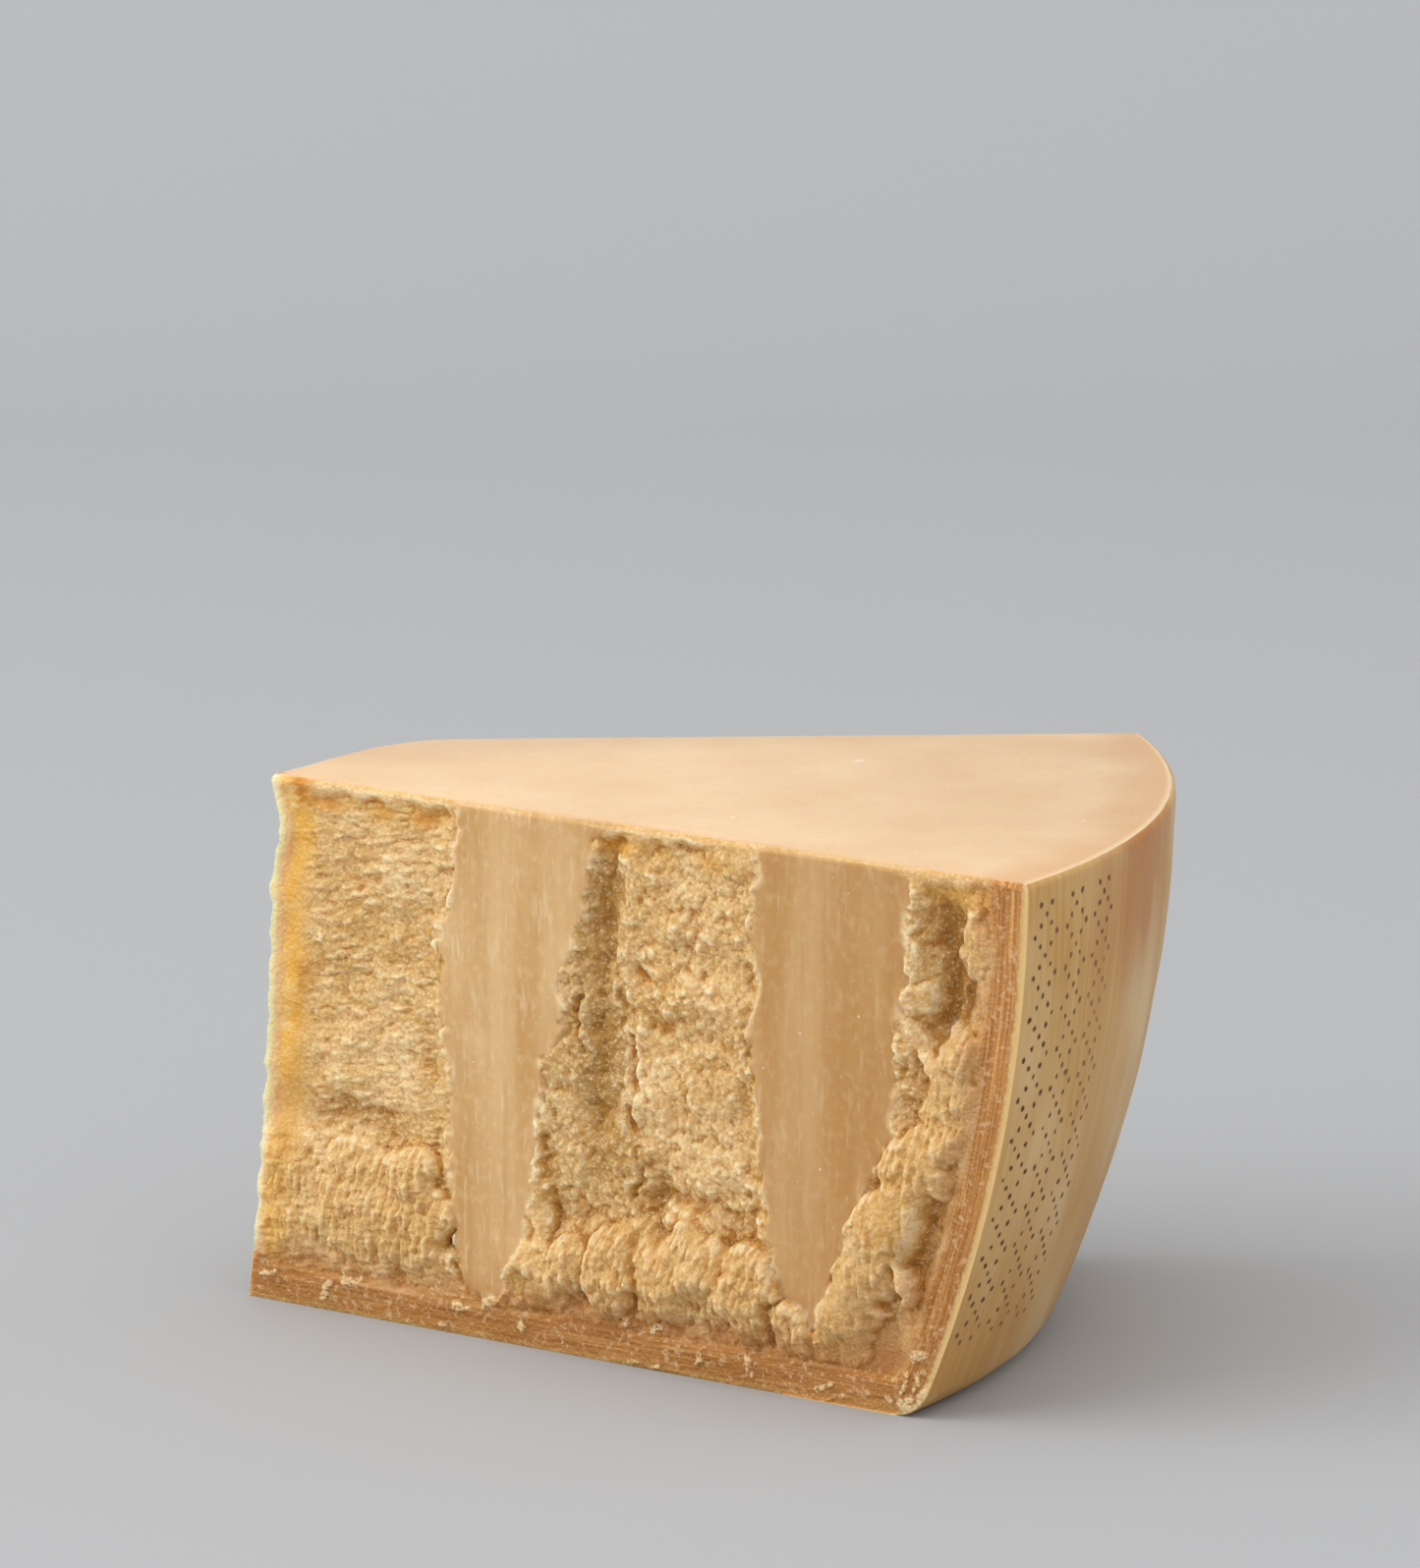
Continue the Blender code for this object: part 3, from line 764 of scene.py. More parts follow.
def close_ends(mesh):
    """Fill both ends and give each region its material."""
    column_layer = mesh.verts.layers.int["column"]
    rind_start, rind_stop = rind_columns.start, rind_columns.stop
    for face in mesh.faces:
        columns = [vert[column_layer] for vert in face.verts]
        on_rind = min(columns) >= rind_start and max(columns) <= rind_stop
        face.material_index = RIND if on_rind else PASTE
    for level, slot in ((0.0, BASE), (HEIGHT * MM, TOP_CUT)):
        rim = [edge for edge in mesh.edges
               if edge.is_boundary and all(abs(vert.co.z - level) < 1e-6 for vert in edge.verts)]
        face = bmesh.ops.contextual_create(mesh, geom=rim)["faces"][0]
        face.material_index = slot
        if slot == TOP_CUT:
            for vert in face.verts:
                vert.co.z -= EDGE_DROP * MM
            bmesh.ops.inset_region(mesh, faces=[face], thickness=EDGE_INSET * MM, use_even_offset=False)
            for vert in face.verts:
                vert.co.z = HEIGHT * MM
    bmesh.ops.recalc_face_normals(mesh, faces=mesh.faces)
    bmesh.ops.triangulate(mesh, faces=mesh.faces)


close_ends(net)
data = bpy.data.meshes.new("cheese_wedge_skin")
net.to_mesh(data)
net.free()
wedge = bpy.data.objects.new("cheese_wedge_skin", data)
bpy.context.scene.collection.objects.link(wedge)
print("closed wedge:", len(data.polygons), "triangles")

# %% [markdown]
# ## Spending the triangles where they show
# A collapse-style Decimate thins flat places first and leaves crumbs and borders alone, so it
# brings the mesh under its limit with little loss. It is applied at once, because the finished
# piece has to be a plain mesh.

# %% thin the mesh
TRIANGLES = 192000


def thin(piece, count):
    """Collapse the piece down to a number of triangles, and apply that."""
    modifier = piece.modifiers.new("thin", "DECIMATE")
    modifier.ratio = count / len(piece.data.polygons)
    depsgraph = bpy.context.evaluated_depsgraph_get()
    thinned = bpy.data.meshes.new_from_object(piece.evaluated_get(depsgraph))
    piece.modifiers.clear()
    old = piece.data
    piece.data = thinned
    bpy.data.meshes.remove(old)


thin(wedge, TRIANGLES)
wedge.data.shade_smooth()
wedge.data.set_sharp_from_angle(angle=math.radians(75.0))
print("thinned wedge:", len(wedge.data.polygons), "triangles")
print("attributes:", sorted(item.name for item in wedge.data.attributes))

# %% [markdown]
# ## Colour and nodes
# Colours are read as sRGB hex values, as a paint program shows them, and turned to the linear
# values that a shader works with. One helper adds a node, sets it, and links it to the nodes
# that feed it, so that a material reads as a list of what was done to it.


# %% material helpers
def colour(code):
    """An sRGB hex value as linear red, green, blue and alpha."""
    parts = [int(code[place:place + 2], 16) / 255.0 for place in (1, 3, 5)]
    linear = [part / 12.92 if part <= 0.04045 else ((part + 0.055) / 1.055) ** 2.4 for part in parts]
    return (*linear, 1.0)


def add(tree, kind, inputs=None, out=0, stops=None, **settings):
    """Add a node and return (node, output). An input is a value, or such a pair that feeds it."""
    item = tree.nodes.new("ShaderNode" + kind)
    for name, value in settings.items():
        setattr(item, name, value)
    for name, value in (inputs or {}).items():
        if isinstance(value, tuple) and isinstance(value[0], bpy.types.Node):
            tree.links.new(value[0].outputs[value[1]], item.inputs[name])
        else:
            item.inputs[name].default_value = value
    if stops:
        elements = item.color_ramp.elements
        while len(elements) < len(stops):
            elements.new(0.5)
        for element, (position, code) in zip(elements, stops):
            element.position = position
            element.color = colour(code)
    return item, out


def laid_over(tree, under, over, value, start, end, strength=1.0):
    """One colour laid over another, more and more as a value goes from start to end."""
    share = add(tree, "MapRange", {
        "Value": value, "From Min": start, "From Max": end, "To Max": strength})
    return add(tree, "Mix", {0: share, 6: under, 7: over}, 2, data_type="RGBA")


def per_metre(size):
    """The scale that gives a pattern features of a size in mm."""
    return 1.0 / (size * MM)


print("features of 2 mm need a scale of", round(per_metre(2.0)))

# %% [markdown]
# ## Places to hang patterns on
# Two frames of reference serve all the patterns here: the object's own coordinates, and a flat
# map of the upright faces, made from the distance along the face and the height. Patterns are
# given by the size of their features in millimetres.


# %% pattern helpers
def face_map(tree, height_share=1.0):
    """Along the face and up, in metres. A small height share draws patterns out upright."""
    along = add(tree, "Attribute", out="Fac", attribute_name="along_face")
    height = add(tree, "SeparateXYZ", {0: add(tree, "TexCoord", out="Object")}, "Z")
    return add(tree, "CombineXYZ", {
        "X": add(tree, "Math", {0: along, 1: MM}, operation="MULTIPLY"),
        "Y": add(tree, "Math", {0: height, 1: height_share}, operation="MULTIPLY")})


def wandering(tree, reach, pattern, swing):
    """A distance in mm that wanders by a swing, so that a border on it is ragged."""
    sway = add(tree, "MapRange", {
        "Value": pattern, "From Min": 0.3, "From Max": 0.7, "To Min": -swing, "To Max": swing})
    return add(tree, "Math", {0: reach, 1: sway}, operation="ADD")


def specks(tree, place, spacing, size, chance):
    """Round specks of a size in mm, at a spacing in mm, each there by chance."""
    cells = add(tree, "TexVoronoi", {"Vector": place, "Scale": per_metre(spacing)})[0]
    edge = 0.5 * size / spacing
    from_middle = (cells, "Distance")
    dot = add(tree, "MapRange", {"Value": from_middle, "From Min": edge, "From Max": 0.6 * edge})
    lot = add(tree, "SeparateColor", {0: (cells, "Color")})
    kept = add(tree, "Math", {0: lot, 1: chance}, operation="LESS_THAN")
    return add(tree, "Math", {0: dot, 1: kept}, operation="MULTIPLY")


def strewn(tree, tint, code, place, kinds):
    """White specks of several sizes, crystals and, on the paste, painted glints too: each kind is a
    spacing, a size, a chance and a strength.
    """
    for spacing, size, chance, strength in kinds:
        crystals = specks(tree, place, spacing, size, chance)
        tint = laid_over(tree, tint, colour(code), crystals, 0.0, 1.0, strength)
    return tint


def new_material(name, roughness):
    """A material with its shader, ready for nodes."""
    material = bpy.data.materials.new(name)
    material.use_nodes = True
    shader = material.node_tree.nodes["Principled BSDF"]
    shader.inputs["Roughness"].default_value = roughness
    return material, material.node_tree, shader


print("specks 13 mm apart need a scale of", round(per_metre(13.0)))

# %% [markdown]
# ## What every material ends with
# The same shader finishes them all. Light reaches farther in red than in blue, which is what
# makes the paste look warm, and the surface shines less than glass would because fat dulls it.

# %% finish of a material
GREASY = 0.28
LIGHT_SPREAD = (1.0, 0.6, 0.28)


def finish_material(tree, shader, tint, relief, relief_height, depth_of_light, weight):
    """Link the colour and the fine relief, and set how far light goes in (in mm)."""
    tree.links.new(tint[0].outputs[tint[1]], shader.inputs["Base Color"])
    bump = add(tree, "Bump", {"Height": relief, "Strength": 1.0, "Distance": relief_height * MM})[0]
    tree.links.new(bump.outputs["Normal"], shader.inputs["Normal"])
    shader.inputs["Specular IOR Level"].default_value = GREASY
    shader.inputs["Subsurface Weight"].default_value = weight
    shader.inputs["Subsurface Radius"].default_value = LIGHT_SPREAD
    shader.inputs["Subsurface Scale"].default_value = depth_of_light * MM


print("red light spreads", round(LIGHT_SPREAD[0] / LIGHT_SPREAD[2], 1), "times as far as blue")

# %% [markdown]
# ## Paste: aged hard cheese
# Dense, fatty curd. Light goes a few millimetres in and comes back warmer, so the shader
# scatters under the surface. Broken, it is granular, and its light and shade are also painted:
# a pale painted highlight on the crumbs, amber painted shade in the hollows and olive painted
# shade in the deep valleys. Where a knife slid it is satin and mottled, with faint smears, and
# it is painted darker towards the rim as shade. White crystals lie in both, and the finest of
# them also stand in for painted glints. The paste is drier and browner towards the rind.


# %% colour of the broken paste
def broken_colour(tree, values, cloud, grain, crumbs):
    """Painted highlight on crests and crumbs, painted shade in pits, basins and valleys, and grains of
    different tones.
    """
    body = ((0.32, "#D3A760"), (0.5, "#E0B97A"), (0.68, "#ECCD96"))
    tint = add(tree, "ValToRGB", {0: cloud}, stops=body)
    # The hollow and basin colours are painted shade in pits and wide basins, the pale hollow colour is a
    # painted highlight on crests, and the olive is painted shade in valleys; the tone colours are the
    # grains' own.
    for code, name, start, end, strength in (
            ("#F1DDB0", "tone", 0.62, 0.95, 0.5),
            ("#CC9648", "tone", 0.36, 0.05, 0.5),
            ("#CB8A30", "hollow", 0.08, 0.6, 0.85),
            ("#F9ECC8", "hollow", -0.2, -0.8, 0.8),
            ("#A8701C", "basin", 0.8, 4.2, 0.8),
            ("#9E7014", "olive", 0.0, 1.0, 0.75)):
        tint = laid_over(tree, tint, colour(code), values[name], start, end, strength)
    # Painted shade between the fine crumbs of the bump, and a painted highlight on their tops.
    tint = laid_over(tree, tint, colour("#C08A3E"), crumbs, 0.85, 1.3, 0.5)
    tint = laid_over(tree, tint, colour("#F7E8C2"), crumbs, 0.7, 0.3, 0.5)
    return laid_over(tree, tint, colour("#F2E2BC"), grain, 0.56, 0.72, 0.3)


print("pale crumb, linear:", [round(part, 2) for part in colour("#F9ECC8")])


# %% colour of the knife tracks
def track_colour(tree, cloud):
    """Satin paste, mottled, with faint upright bands, smears and scratches."""
    streaks, bands, mottle, smears = (
        add(tree, "TexNoise", {"Vector": face_map(tree, drawn), "Scale": per_metre(size), "Detail": detail})
        for drawn, size, detail in ((0.035, 2.4, 3.0), (0.1, 12.0, 3.0), (0.7, 2.0, 4.0), (0.14, 1.5, 2.0)))
    tint = add(tree, "ValToRGB", {0: bands}, stops=((0.36, "#C99C60"), (0.64, "#DDBA86")))
    tint = laid_over(tree, tint, colour("#BF9157"), streaks, 0.5, 0.75, 0.35)
    tint = laid_over(tree, tint, colour("#EFDDB6"), smears, 0.58, 0.72, 0.4)
    tint = laid_over(tree, tint, colour("#E9CE9E"), mottle, 0.5, 0.72, 0.4)
    return laid_over(tree, tint, colour("#E8CC9C"), cloud, 0.56, 0.72, 0.35), streaks


print("satin paste, linear:", [round(part, 2) for part in colour("#DDBA86")])

# %% [markdown]
# ## The rind in section
# Along both broken faces the rind shows from the side, as fine layers parallel to the outside.
# Noise that is read by the distance from the outside, and hardly by anything else, draws them.

# %% colour of the rind in section
RIND_LINE = 0.7


def section_colour(tree, values, grain):
    """Pink-brown layers parallel to the outside, with pale specks."""
    height = add(tree, "SeparateXYZ", {0: add(tree, "TexCoord", out="Object")}, "Z")
    layer_map = add(tree, "CombineXYZ", {
        "X": values["rind_reach"],
        "Y": add(tree, "Math", {0: values["along_face"], 1: 0.02}, operation="MULTIPLY"),
        "Z": add(tree, "Math", {0: height, 1: 14.0}, operation="MULTIPLY")})
    layers = add(tree, "TexNoise", {
        "Vector": layer_map, "Scale": 1.0 / RIND_LINE, "Detail": 4.0, "Roughness": 0.7})
    body = ((0.34, "#9C642C"), (0.5, "#BE8444"), (0.66, "#DBAC6A"))
    tint = add(tree, "ValToRGB", {0: layers}, stops=body)
    tint = laid_over(tree, tint, colour("#A26C26"), height, 0.09, 0.0, 0.4)
    return laid_over(tree, tint, colour("#E3C49C"), grain, 0.54, 0.66, 0.55)


print("layers in the rind:", round(RIND_DEPTH / RIND_LINE))

# %% [markdown]
# ## The paste put together
# First the broken paste and the tracks, then the light and the crystals in them, then what
# changes towards the rind. Each step lays one colour over the others where a mask says so.

# %% paste material
CRUMB = 1.1
# White crystals; the finest, closest kind also stands in for tiny glints, as a painted highlight.
CRYSTALS_AND_PAINTED_GLINTS = ((1.9, 0.4, 0.3, 0.5), (5.0, 0.8, 0.3, 0.5), (13.0, 1.7, 0.2, 0.6), (30.0, 4.2, 0.3, 0.4))


def light_in_the_edge(tree, tint, values):
    """Painted amber glow, and a painted cream highlight, where light comes through the thin edge."""
    tint = laid_over(tree, tint, colour("#EDB64A"), values["amber"], 0.0, 0.8, 0.9)
    tint = laid_over(tree, tint, colour("#C87E22"), values["deep_amber"], 0.0, 0.9, 0.85)
    near_edge = add(tree, "Math", {0: values["amber"], 1: values["tone"]}, operation="MULTIPLY")
    tint = laid_over(tree, tint, colour("#F3DFA8"), near_edge, 0.35, 0.8, 0.6)
    return laid_over(tree, tint, colour("#FCE8BA"), values["cream"], 0.0, 0.9, 0.9)


def towards_the_rind(tree, tint, values, cloud, grain):
    """Browner paste near the rind, the rind in section, and its outer skin."""
    near_rind = wandering(tree, values["rind_reach"], cloud, 1.6)
    crust = wandering(tree, values["rind_reach"], cloud, 1.2)
    outside = wandering(tree, values["side_reach"], grain, 0.6)
    tint = laid_over(tree, tint, colour("#C0844A"), near_rind, 15.0, 9.5, 0.5)
    # Browner patches above the base rind, and painted shade in one slit.
    tint = laid_over(tree, tint, colour("#BA8048"), values["brown"], 0.0, 1.0, 0.75)
    tint = laid_over(tree, tint, section_colour(tree, values, grain), near_rind, 9.6, 7.8)
    tint = laid_over(tree, tint, colour("#C99C58"), crust, 2.0, 0.6, 0.5)
    return laid_over(tree, tint, colour("#DFC38A"), outside, 2.0, 1.0, 0.8)


def cheese_paste():
    """The material of both broken faces, with the rind in section."""
    material, tree, shader = new_material("aged_cheese_paste", 0.5)
    place = add(tree, "TexCoord", out="Object")
    values = {name: add(tree, "Attribute", out="Fac", attribute_name=name) for name in grids}
    cloud = add(tree, "TexNoise", {
        "Vector": place, "Scale": per_metre(16.0), "Detail": 5.0, "Roughness": 0.62})
    grain = add(tree, "TexNoise", {
        "Vector": place, "Scale": per_metre(1.6), "Detail": 3.0, "Roughness": 0.6})
    fine = add(tree, "TexVoronoi", {"Vector": place, "Scale": per_metre(CRUMB), "Detail": 1.0})
    track, streaks = track_colour(tree, cloud)
    # Painted shade: the knife tracks darken towards the rim, as the light falls off from left to right.
    track = laid_over(tree, track, colour("#AC7838"), values["rim_reach"], 140.0, 5.0, 0.55)
    tint = broken_colour(tree, values, cloud, grain, fine)
    # A slight painted shade on the broken paste towards the rim, from the same falloff of light.
    tint = laid_over(tree, tint, colour("#B07C3C"), values["rim_reach"], 120.0, 5.0, 0.1)
    tint = laid_over(tree, tint, track, values["flatness"], 0.0, 1.0)
    # Pale lip along the track borders: paler crumbled paste, and a painted highlight on the raised lip.
    tint = laid_over(tree, tint, colour("#F1DDB2"), values["lip"], 0.2, 1.0, 0.55)
    tint = laid_over(tree, tint, colour("#D6A860"), values["lumpy"], 0.3, 1.0, 0.4)
    tint = strewn(tree, tint, "#F5E8CB", face_map(tree), CRYSTALS_AND_PAINTED_GLINTS)
    tint = light_in_the_edge(tree, tint, values)
    tint = towards_the_rind(tree, tint, values, cloud, grain)
    beads = add(tree, "MapRange", {"Value": fine, "From Min": 1.0, "From Max": 0.6})
    crumbs = add(tree, "Math", {0: values["scraps"], 1: beads}, operation="MULTIPLY")
    tint = laid_over(tree, tint, colour("#EBD4A8"), crumbs, 0.1, 0.7, 0.8)

    crumbly = add(tree, "MapRange", {"Value": values["flatness"], "To Min": -0.9, "To Max": -0.07})
    crumb_relief = add(tree, "Math", {0: fine, 1: crumbly}, operation="MULTIPLY")
    relief = add(tree, "Math", {0: streaks, 1: 0.15, 2: crumb_relief}, operation="MULTIPLY_ADD")
    gloss = add(tree, "MapRange", {
        "Value": grain, "From Min": 0.35, "From Max": 0.65, "To Min": 0.4, "To Max": 0.66})
    tree.links.new(gloss[0].outputs[0], shader.inputs["Roughness"])
    finish_material(tree, shader, tint, relief, 0.42, 2.6, 0.9)
    return material


wedge.data.materials.append(cheese_paste())
print("nodes in the paste:", len(wedge.data.materials[PASTE].node_tree.nodes))

# %% [markdown]
# ## Rind: the wheel's oiled outside
# The outside dried, and was brushed and oiled for months. It is hard and yellow-brown, with
# fine upright lines, a tea-coloured stain under the top cut and a browner foot. The mould leaves
# bands of pin dots in such a rind. Here they are plain chains of diamonds that say nothing:
# the surface is counted off in squares, and a dot is drawn where a zigzag meets a square.

# %% pin dots of the rind
DOT_PITCH = 2.3
DOT_SIZE = 1.6
DOT_BANDS = (1.0, 7.0, 13.0)
ZIGZAG = 4.0
DOTS_FROM = 0.016
DOTS_TO = 0.120


def diamond_chain(tree, across, upward):
    """1 in the squares of the grid that lie on a zigzag or on its mirror image, in each band."""
    row = add(tree, "Math", {0: upward}, operation="FLOOR")
    column = add(tree, "Math", {0: across}, operation="FLOOR")
    zigzag = add(tree, "Math", {0: row, 1: ZIGZAG}, operation="PINGPONG")
    mirrored = add(tree, "Math", {0: ZIGZAG, 1: zigzag}, operation="SUBTRACT")
    marked = add(tree, "Value")
    for start in DOT_BANDS:
        inner = add(tree, "Math", {0: column, 1: start}, operation="SUBTRACT")
        for line in (zigzag, mirrored):
            hit = add(tree, "Math", {0: inner, 1: line, 2: 0.1}, operation="COMPARE")
            marked = add(tree, "Math", {0: marked, 1: hit}, operation="MAXIMUM")
    return marked


def pin_dots(tree):
    """Round dots in the marked squares, from 0 to 1."""
    along = add(tree, "Attribute", out="Fac", attribute_name="along_face")
    height = add(tree, "SeparateXYZ", {0: add(tree, "TexCoord", out="Object")}, "Z")
    across = add(tree, "Math", {0: along, 1: DOT_PITCH}, operation="DIVIDE")
    upward = add(tree, "Math", {0: height, 1: DOT_PITCH * MM}, operation="DIVIDE")
    counted = add(tree, "CombineXYZ", {"X": across, "Y": upward})
    in_square = add(tree, "VectorMath", {0: counted}, operation="FRACTION")
    middle = (0.5, 0.5, 0.0)
    from_middle = add(tree, "VectorMath", {0: in_square, 1: middle}, "Value", operation="DISTANCE")
    uneven = add(tree, "TexNoise", {"Vector": face_map(tree), "Scale": per_metre(2.0), "Detail": 2.0})
    from_middle = wandering(tree, from_middle, uneven, 0.12)
    edge = 0.5 * DOT_SIZE / DOT_PITCH
    dot = add(tree, "MapRange", {"Value": from_middle, "From Min": edge, "From Max": 0.5 * edge})
    dot = add(tree, "Math", {0: dot, 1: diamond_chain(tree, across, upward)}, operation="MULTIPLY")
    above = add(tree, "Math", {0: height, 1: DOTS_FROM}, operation="GREATER_THAN")
    below = add(tree, "Math", {0: height, 1: DOTS_TO}, operation="LESS_THAN")
    in_reach = add(tree, "Math", {0: above, 1: below}, operation="MULTIPLY")
    return add(tree, "Math", {0: dot, 1: in_reach}, operation="MULTIPLY")


print("rows of dots:", int((DOTS_TO - DOTS_FROM) / (DOT_PITCH * MM)))

# %% rind material
STAIN_PLACE = (0.064, 0.118, 0.0)
STAIN_FROM = 0.012
STAIN_TO = 0.046


def cheese_rind():
    """The material of the wheel's curved side."""
    material, tree, shader = new_material("oiled_rind", 0.42)
    height = add(tree, "SeparateXYZ", {0: add(tree, "TexCoord", out="Object")}, "Z")
    grain, wide, worn = (
        add(tree, "TexNoise", {"Vector": face_map(tree, drawn), "Scale": per_metre(size), "Detail": detail})
        for drawn, size, detail in ((0.04, 1.6, 4.0), (0.25, 16.0, 4.0), (0.6, 34.0, 2.0)))
    body = ((0.3, "#C5954E"), (0.5, "#CD9F5B"), (0.7, "#D6AC6C"))
    tint = add(tree, "ValToRGB", {0: grain}, stops=body)
    tint = laid_over(tree, tint, colour("#C48E48"), wide, 0.45, 0.7, 0.4)
    tint = laid_over(tree, tint, colour("#B07A38"), height, 0.06, 0.0, 0.5)
    tint = laid_over(tree, tint, colour("#E6CC9C"), worn, 0.42, 0.65, 0.5)
    from_stain = add(tree, "VectorMath", {0: face_map(tree), 1: STAIN_PLACE}, "Value", operation="DISTANCE")
    stain = add(tree, "MapRange", {"Value": from_stain, "From Min": STAIN_TO, "From Max": STAIN_FROM})
    patchy = add(tree, "Math", {0: stain, 1: wide}, operation="MULTIPLY")
    tint = laid_over(tree, tint, colour("#B46A20"), patchy, 0.1, 0.5, 0.7)
    dots = pin_dots(tree)
    shown = add(tree, "MapRange", {"Value": worn, "From Min": 0.3, "From Max": 0.5, "To Min": 0.5})
    faded = add(tree, "Math", {0: dots, 1: shown}, operation="MULTIPLY")
    tint = laid_over(tree, tint, colour("#5A3214"), faded, 0.0, 1.0)
    relief = add(tree, "Math", {0: grain, 1: 0.3}, operation="MULTIPLY")
    relief = add(tree, "Math", {0: relief, 1: dots}, operation="SUBTRACT")
    finish_material(tree, shader, tint, relief, 0.25, 2.0, 0.4)
    return material


wedge.data.materials.append(cheese_rind())
print("pin dots:", len(DOT_BANDS), "bands, each", ZIGZAG * DOT_PITCH, "mm wide")

# %% [markdown]
# ## The top cut
# One long pull of a two-handled knife through the wheel's middle: smooth and satin, peach by
# the light from above, with white specks of crystal. Towards the rim the paste is drier and
# pinker, and the rind itself is a pale line.

# %% top cut material
RIM_DRY = 18.0
RIM_LINE = 2.2
TOP_CRYSTALS = ((4.5, 0.7, 0.3, 0.6), (11.0, 1.3, 0.3, 0.8), (26.0, 3.0, 0.4, 0.6))


def top_cut():
    """The material of the flat top."""
    material, tree, shader = new_material("knife_cut_paste", 0.46)
    place = add(tree, "TexCoord", out="Object")
    cloud = add(tree, "TexNoise", {"Vector": place, "Scale": per_metre(36.0), "Detail": 4.0})
    fine = add(tree, "TexNoise", {"Vector": place, "Scale": per_metre(2.2), "Detail": 4.0})
    tint = add(tree, "ValToRGB", {0: cloud}, stops=((0.35, "#DCB68C"), (0.65, "#E5C49C")))
    tint = laid_over(tree, tint, colour("#DAAC78"), fine, 0.55, 0.75, 0.4)
    axis_place = (AXIS_X * MM, AXIS_Y * MM, HEIGHT * MM)
    from_axis = add(tree, "VectorMath", {0: place, 1: axis_place}, "Value", operation="DISTANCE")
    axis_reach = add(tree, "Math", {0: from_axis, 1: MM}, operation="DIVIDE")
    from_rim = add(tree, "Math", {0: RADIUS, 1: axis_reach}, operation="SUBTRACT")
    dry = wandering(tree, from_rim, cloud, 5.0)
    tint = laid_over(tree, tint, colour("#D29E6C"), dry, RIM_DRY, 6.0, 0.5)
    tint = laid_over(tree, tint, colour("#F1DDB6"), from_rim, RIM_LINE, 1.0, 0.75)
    # Painted highlight: a cream line along the thin edge of the top.
    cream = add(tree, "Attribute", out="Fac", attribute_name="cream")
    tint = laid_over(tree, tint, colour("#F6E2BE"), cream, 0.0, 1.0, 0.4)
    tint = strewn(tree, tint, "#FAEED8", place, TOP_CRYSTALS)
    finish_material(tree, shader, tint, fine, 0.12, 4.5, 0.85)
    return material


wedge.data.materials.append(top_cut())
print("dry rim, mm wide:", RIM_DRY)

# %% [markdown]
# ## The base rind
# The wheel lay on a wooden shelf and was turned every week, so its flat underside is rind too,
# brown and rubbed, with the marks of the boards.


# %% base rind material
def base_rind():
    """The material of the flat underside."""
    material, tree, shader = new_material("shelf_worn_rind", 0.5)
    place = add(tree, "TexCoord", out="Object")
    boards = add(tree, "Mapping", {"Vector": place, "Scale": (0.12, 1.0, 1.0)})
    lines = add(tree, "TexNoise", {"Vector": boards, "Scale": per_metre(4.0), "Detail": 5.0})
    cloud = add(tree, "TexNoise", {"Vector": place, "Scale": per_metre(30.0), "Detail": 4.0})
    body = ((0.35, "#A87536"), (0.5, "#BE8B4B"), (0.66, "#CFA263"))
    tint = add(tree, "ValToRGB", {0: lines}, stops=body)
    tint = laid_over(tree, tint, colour("#98642C"), cloud, 0.5, 0.75, 0.5)
    finish_material(tree, shader, tint, lines, 0.3, 2.0, 0.4)
    return material


wedge.data.materials.append(base_rind())
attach(wedge, "root")
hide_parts("cheese_wedge")
print("materials:", [material.name for material in wedge.data.materials])

# %% [markdown]
# ## A plain floor
# The floor is one sheet of pale paper that curves up behind the cheese, as in a photo studio,
# so no horizon shows. An edge is spun through a quarter turn, pulled up and then drawn out wide.

# %% floor
VIEW_TURN = math.radians(10.7)
SHEET_REACH = 3.0
CURVE_START = 1.2
CURVE_RADIUS = 0.8
CURVE_STEPS = 24


def studio_floor():
    """A sheet of paper on the ground that curves up behind the cheese."""
    mesh = bmesh.new()
    front_end = mesh.verts.new((-SHEET_REACH, -SHEET_REACH, 0.0))
    curve_start = mesh.verts.new((-SHEET_REACH, CURVE_START, 0.0))
    mesh.edges.new((front_end, curve_start))
    bmesh.ops.spin(mesh, geom=[curve_start], cent=(-SHEET_REACH, CURVE_START, CURVE_RADIUS),
                   axis=(1.0, 0.0, 0.0), angle=math.radians(90.0), steps=CURVE_STEPS)
    top = max(mesh.verts, key=lambda vert: vert.co.z)
    raised = bmesh.ops.extrude_vert_indiv(mesh, verts=[top])["verts"]
    bmesh.ops.translate(mesh, verts=raised, vec=(0.0, 0.0, SHEET_REACH))
    drawn = bmesh.ops.extrude_edge_only(mesh, edges=mesh.edges[:])["geom"]
    far_side = [item for item in drawn if isinstance(item, bmesh.types.BMVert)]
    bmesh.ops.translate(mesh, verts=far_side, vec=(2.0 * SHEET_REACH, 0.0, 0.0))
    turn = Matrix.Rotation(VIEW_TURN, 3, "Z")
    bmesh.ops.rotate(mesh, verts=mesh.verts, cent=(0.0, 0.0, 0.0), matrix=turn)
    bmesh.ops.recalc_face_normals(mesh, faces=mesh.faces)
    sheet = bpy.data.meshes.new("studio_floor")
    mesh.to_mesh(sheet)
    mesh.free()
    sheet.shade_smooth()
    floor = bpy.data.objects.new("studio_floor", sheet)
    bpy.context.scene.collection.objects.link(floor)
    material, tree, shader = new_material("matte_paper", 0.9)
    shader.inputs["Base Color"].default_value = colour("#AFB0B2")
    sheet.materials.append(material)
    return floor


studio_floor()
print("floor sheet, m wide:", 2.0 * SHEET_REACH)

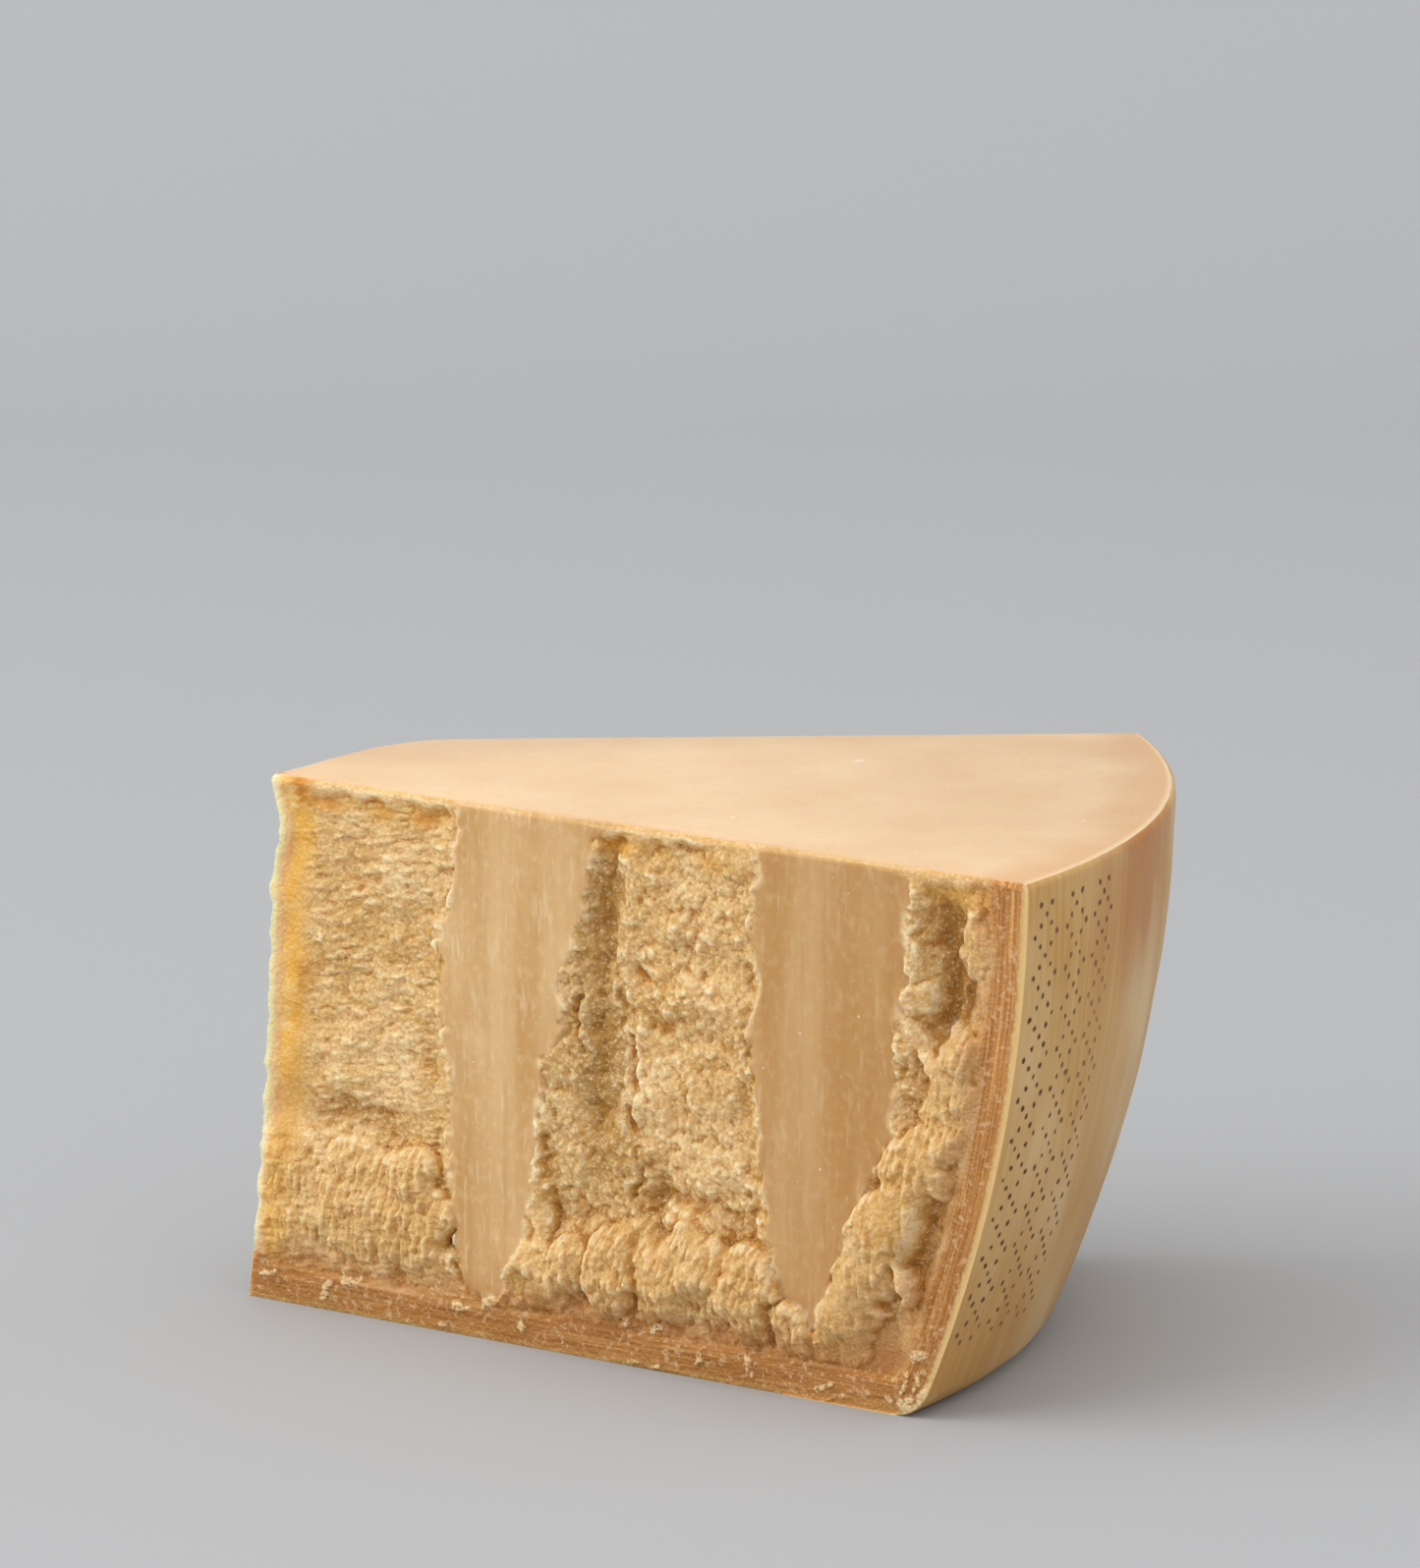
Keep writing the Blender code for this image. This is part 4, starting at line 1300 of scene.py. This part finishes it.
# %% [markdown]
# ## Camera
# A long lens from a little above, square to a line that is turned 10.7 degrees from the frame.
# The camera looks at a point over the middle of the base, just below the top cut's height, from
# about two and a quarter metres.

# %% camera
PITCH = 0.206521
CAMERA_REACH = 2.22825
CAMERA_AIM = (0.09912, 0.121823)
SENSOR_MM = 36.0
LENS_MM = 224.3346


def from_wheel(x, y, z):
    """A place given square to the view, from the wheel's axis, in the frame's own metres."""
    turned = Vector((x, y, z))
    turned.rotate(Euler((0.0, 0.0, VIEW_TURN)))
    return turned + Vector((AXIS_X * MM, AXIS_Y * MM, 0.0))


camera_data = bpy.data.cameras.new("camera")
camera_data.sensor_width = SENSOR_MM
camera_data.lens = LENS_MM
camera = bpy.data.objects.new("camera", camera_data)
bpy.context.scene.collection.objects.link(camera)
camera.location = from_wheel(CAMERA_AIM[0], -CAMERA_REACH * math.cos(PITCH),
                             CAMERA_AIM[1] + CAMERA_REACH * math.sin(PITCH))
camera.rotation_euler = (math.radians(90.0) - PITCH, 0.0, VIEW_TURN)
bpy.context.scene.camera = camera
print("lens, mm:", round(camera_data.lens, 1))

# %% [markdown]
# ## Light
# Soft light from the left and above, from a large panel, with a weaker panel overhead. An even
# white world fills the shadows, as a white studio would.


# %% lights
PANEL_SIZE = 2.4
KEY_POWER = 37.0
OVERHEAD_POWER = 13.0
WORLD_STRENGTH = 0.94


def area_light(name, place, target, size, power):
    """A square white panel at a place, facing a target."""
    panel = bpy.data.lights.new(name, "AREA")
    panel.shape = "SQUARE"
    panel.size = size
    panel.energy = power
    light = bpy.data.objects.new(name, panel)
    bpy.context.scene.collection.objects.link(light)
    light.location = place
    light.rotation_euler = (Vector(target) - place).to_track_quat("-Z", "Y").to_euler()


area_light("key", from_wheel(-2.1, -0.75, 1.75), (0.0, 0.0, 0.06), PANEL_SIZE, KEY_POWER)
area_light("overhead", from_wheel(0.0, 0.3, 2.6), (0.0, 0.0, 0.0), PANEL_SIZE, OVERHEAD_POWER)
world = bpy.data.worlds.new("studio")
world.use_nodes = True
background = world.node_tree.nodes["Background"]
background.inputs["Color"].default_value = (1.0, 1.0, 1.0, 1.0)
background.inputs["Strength"].default_value = WORLD_STRENGTH
bpy.context.scene.world = world
bpy.context.scene.view_settings.view_transform = "Standard"
print("lights:", len(bpy.data.lights))
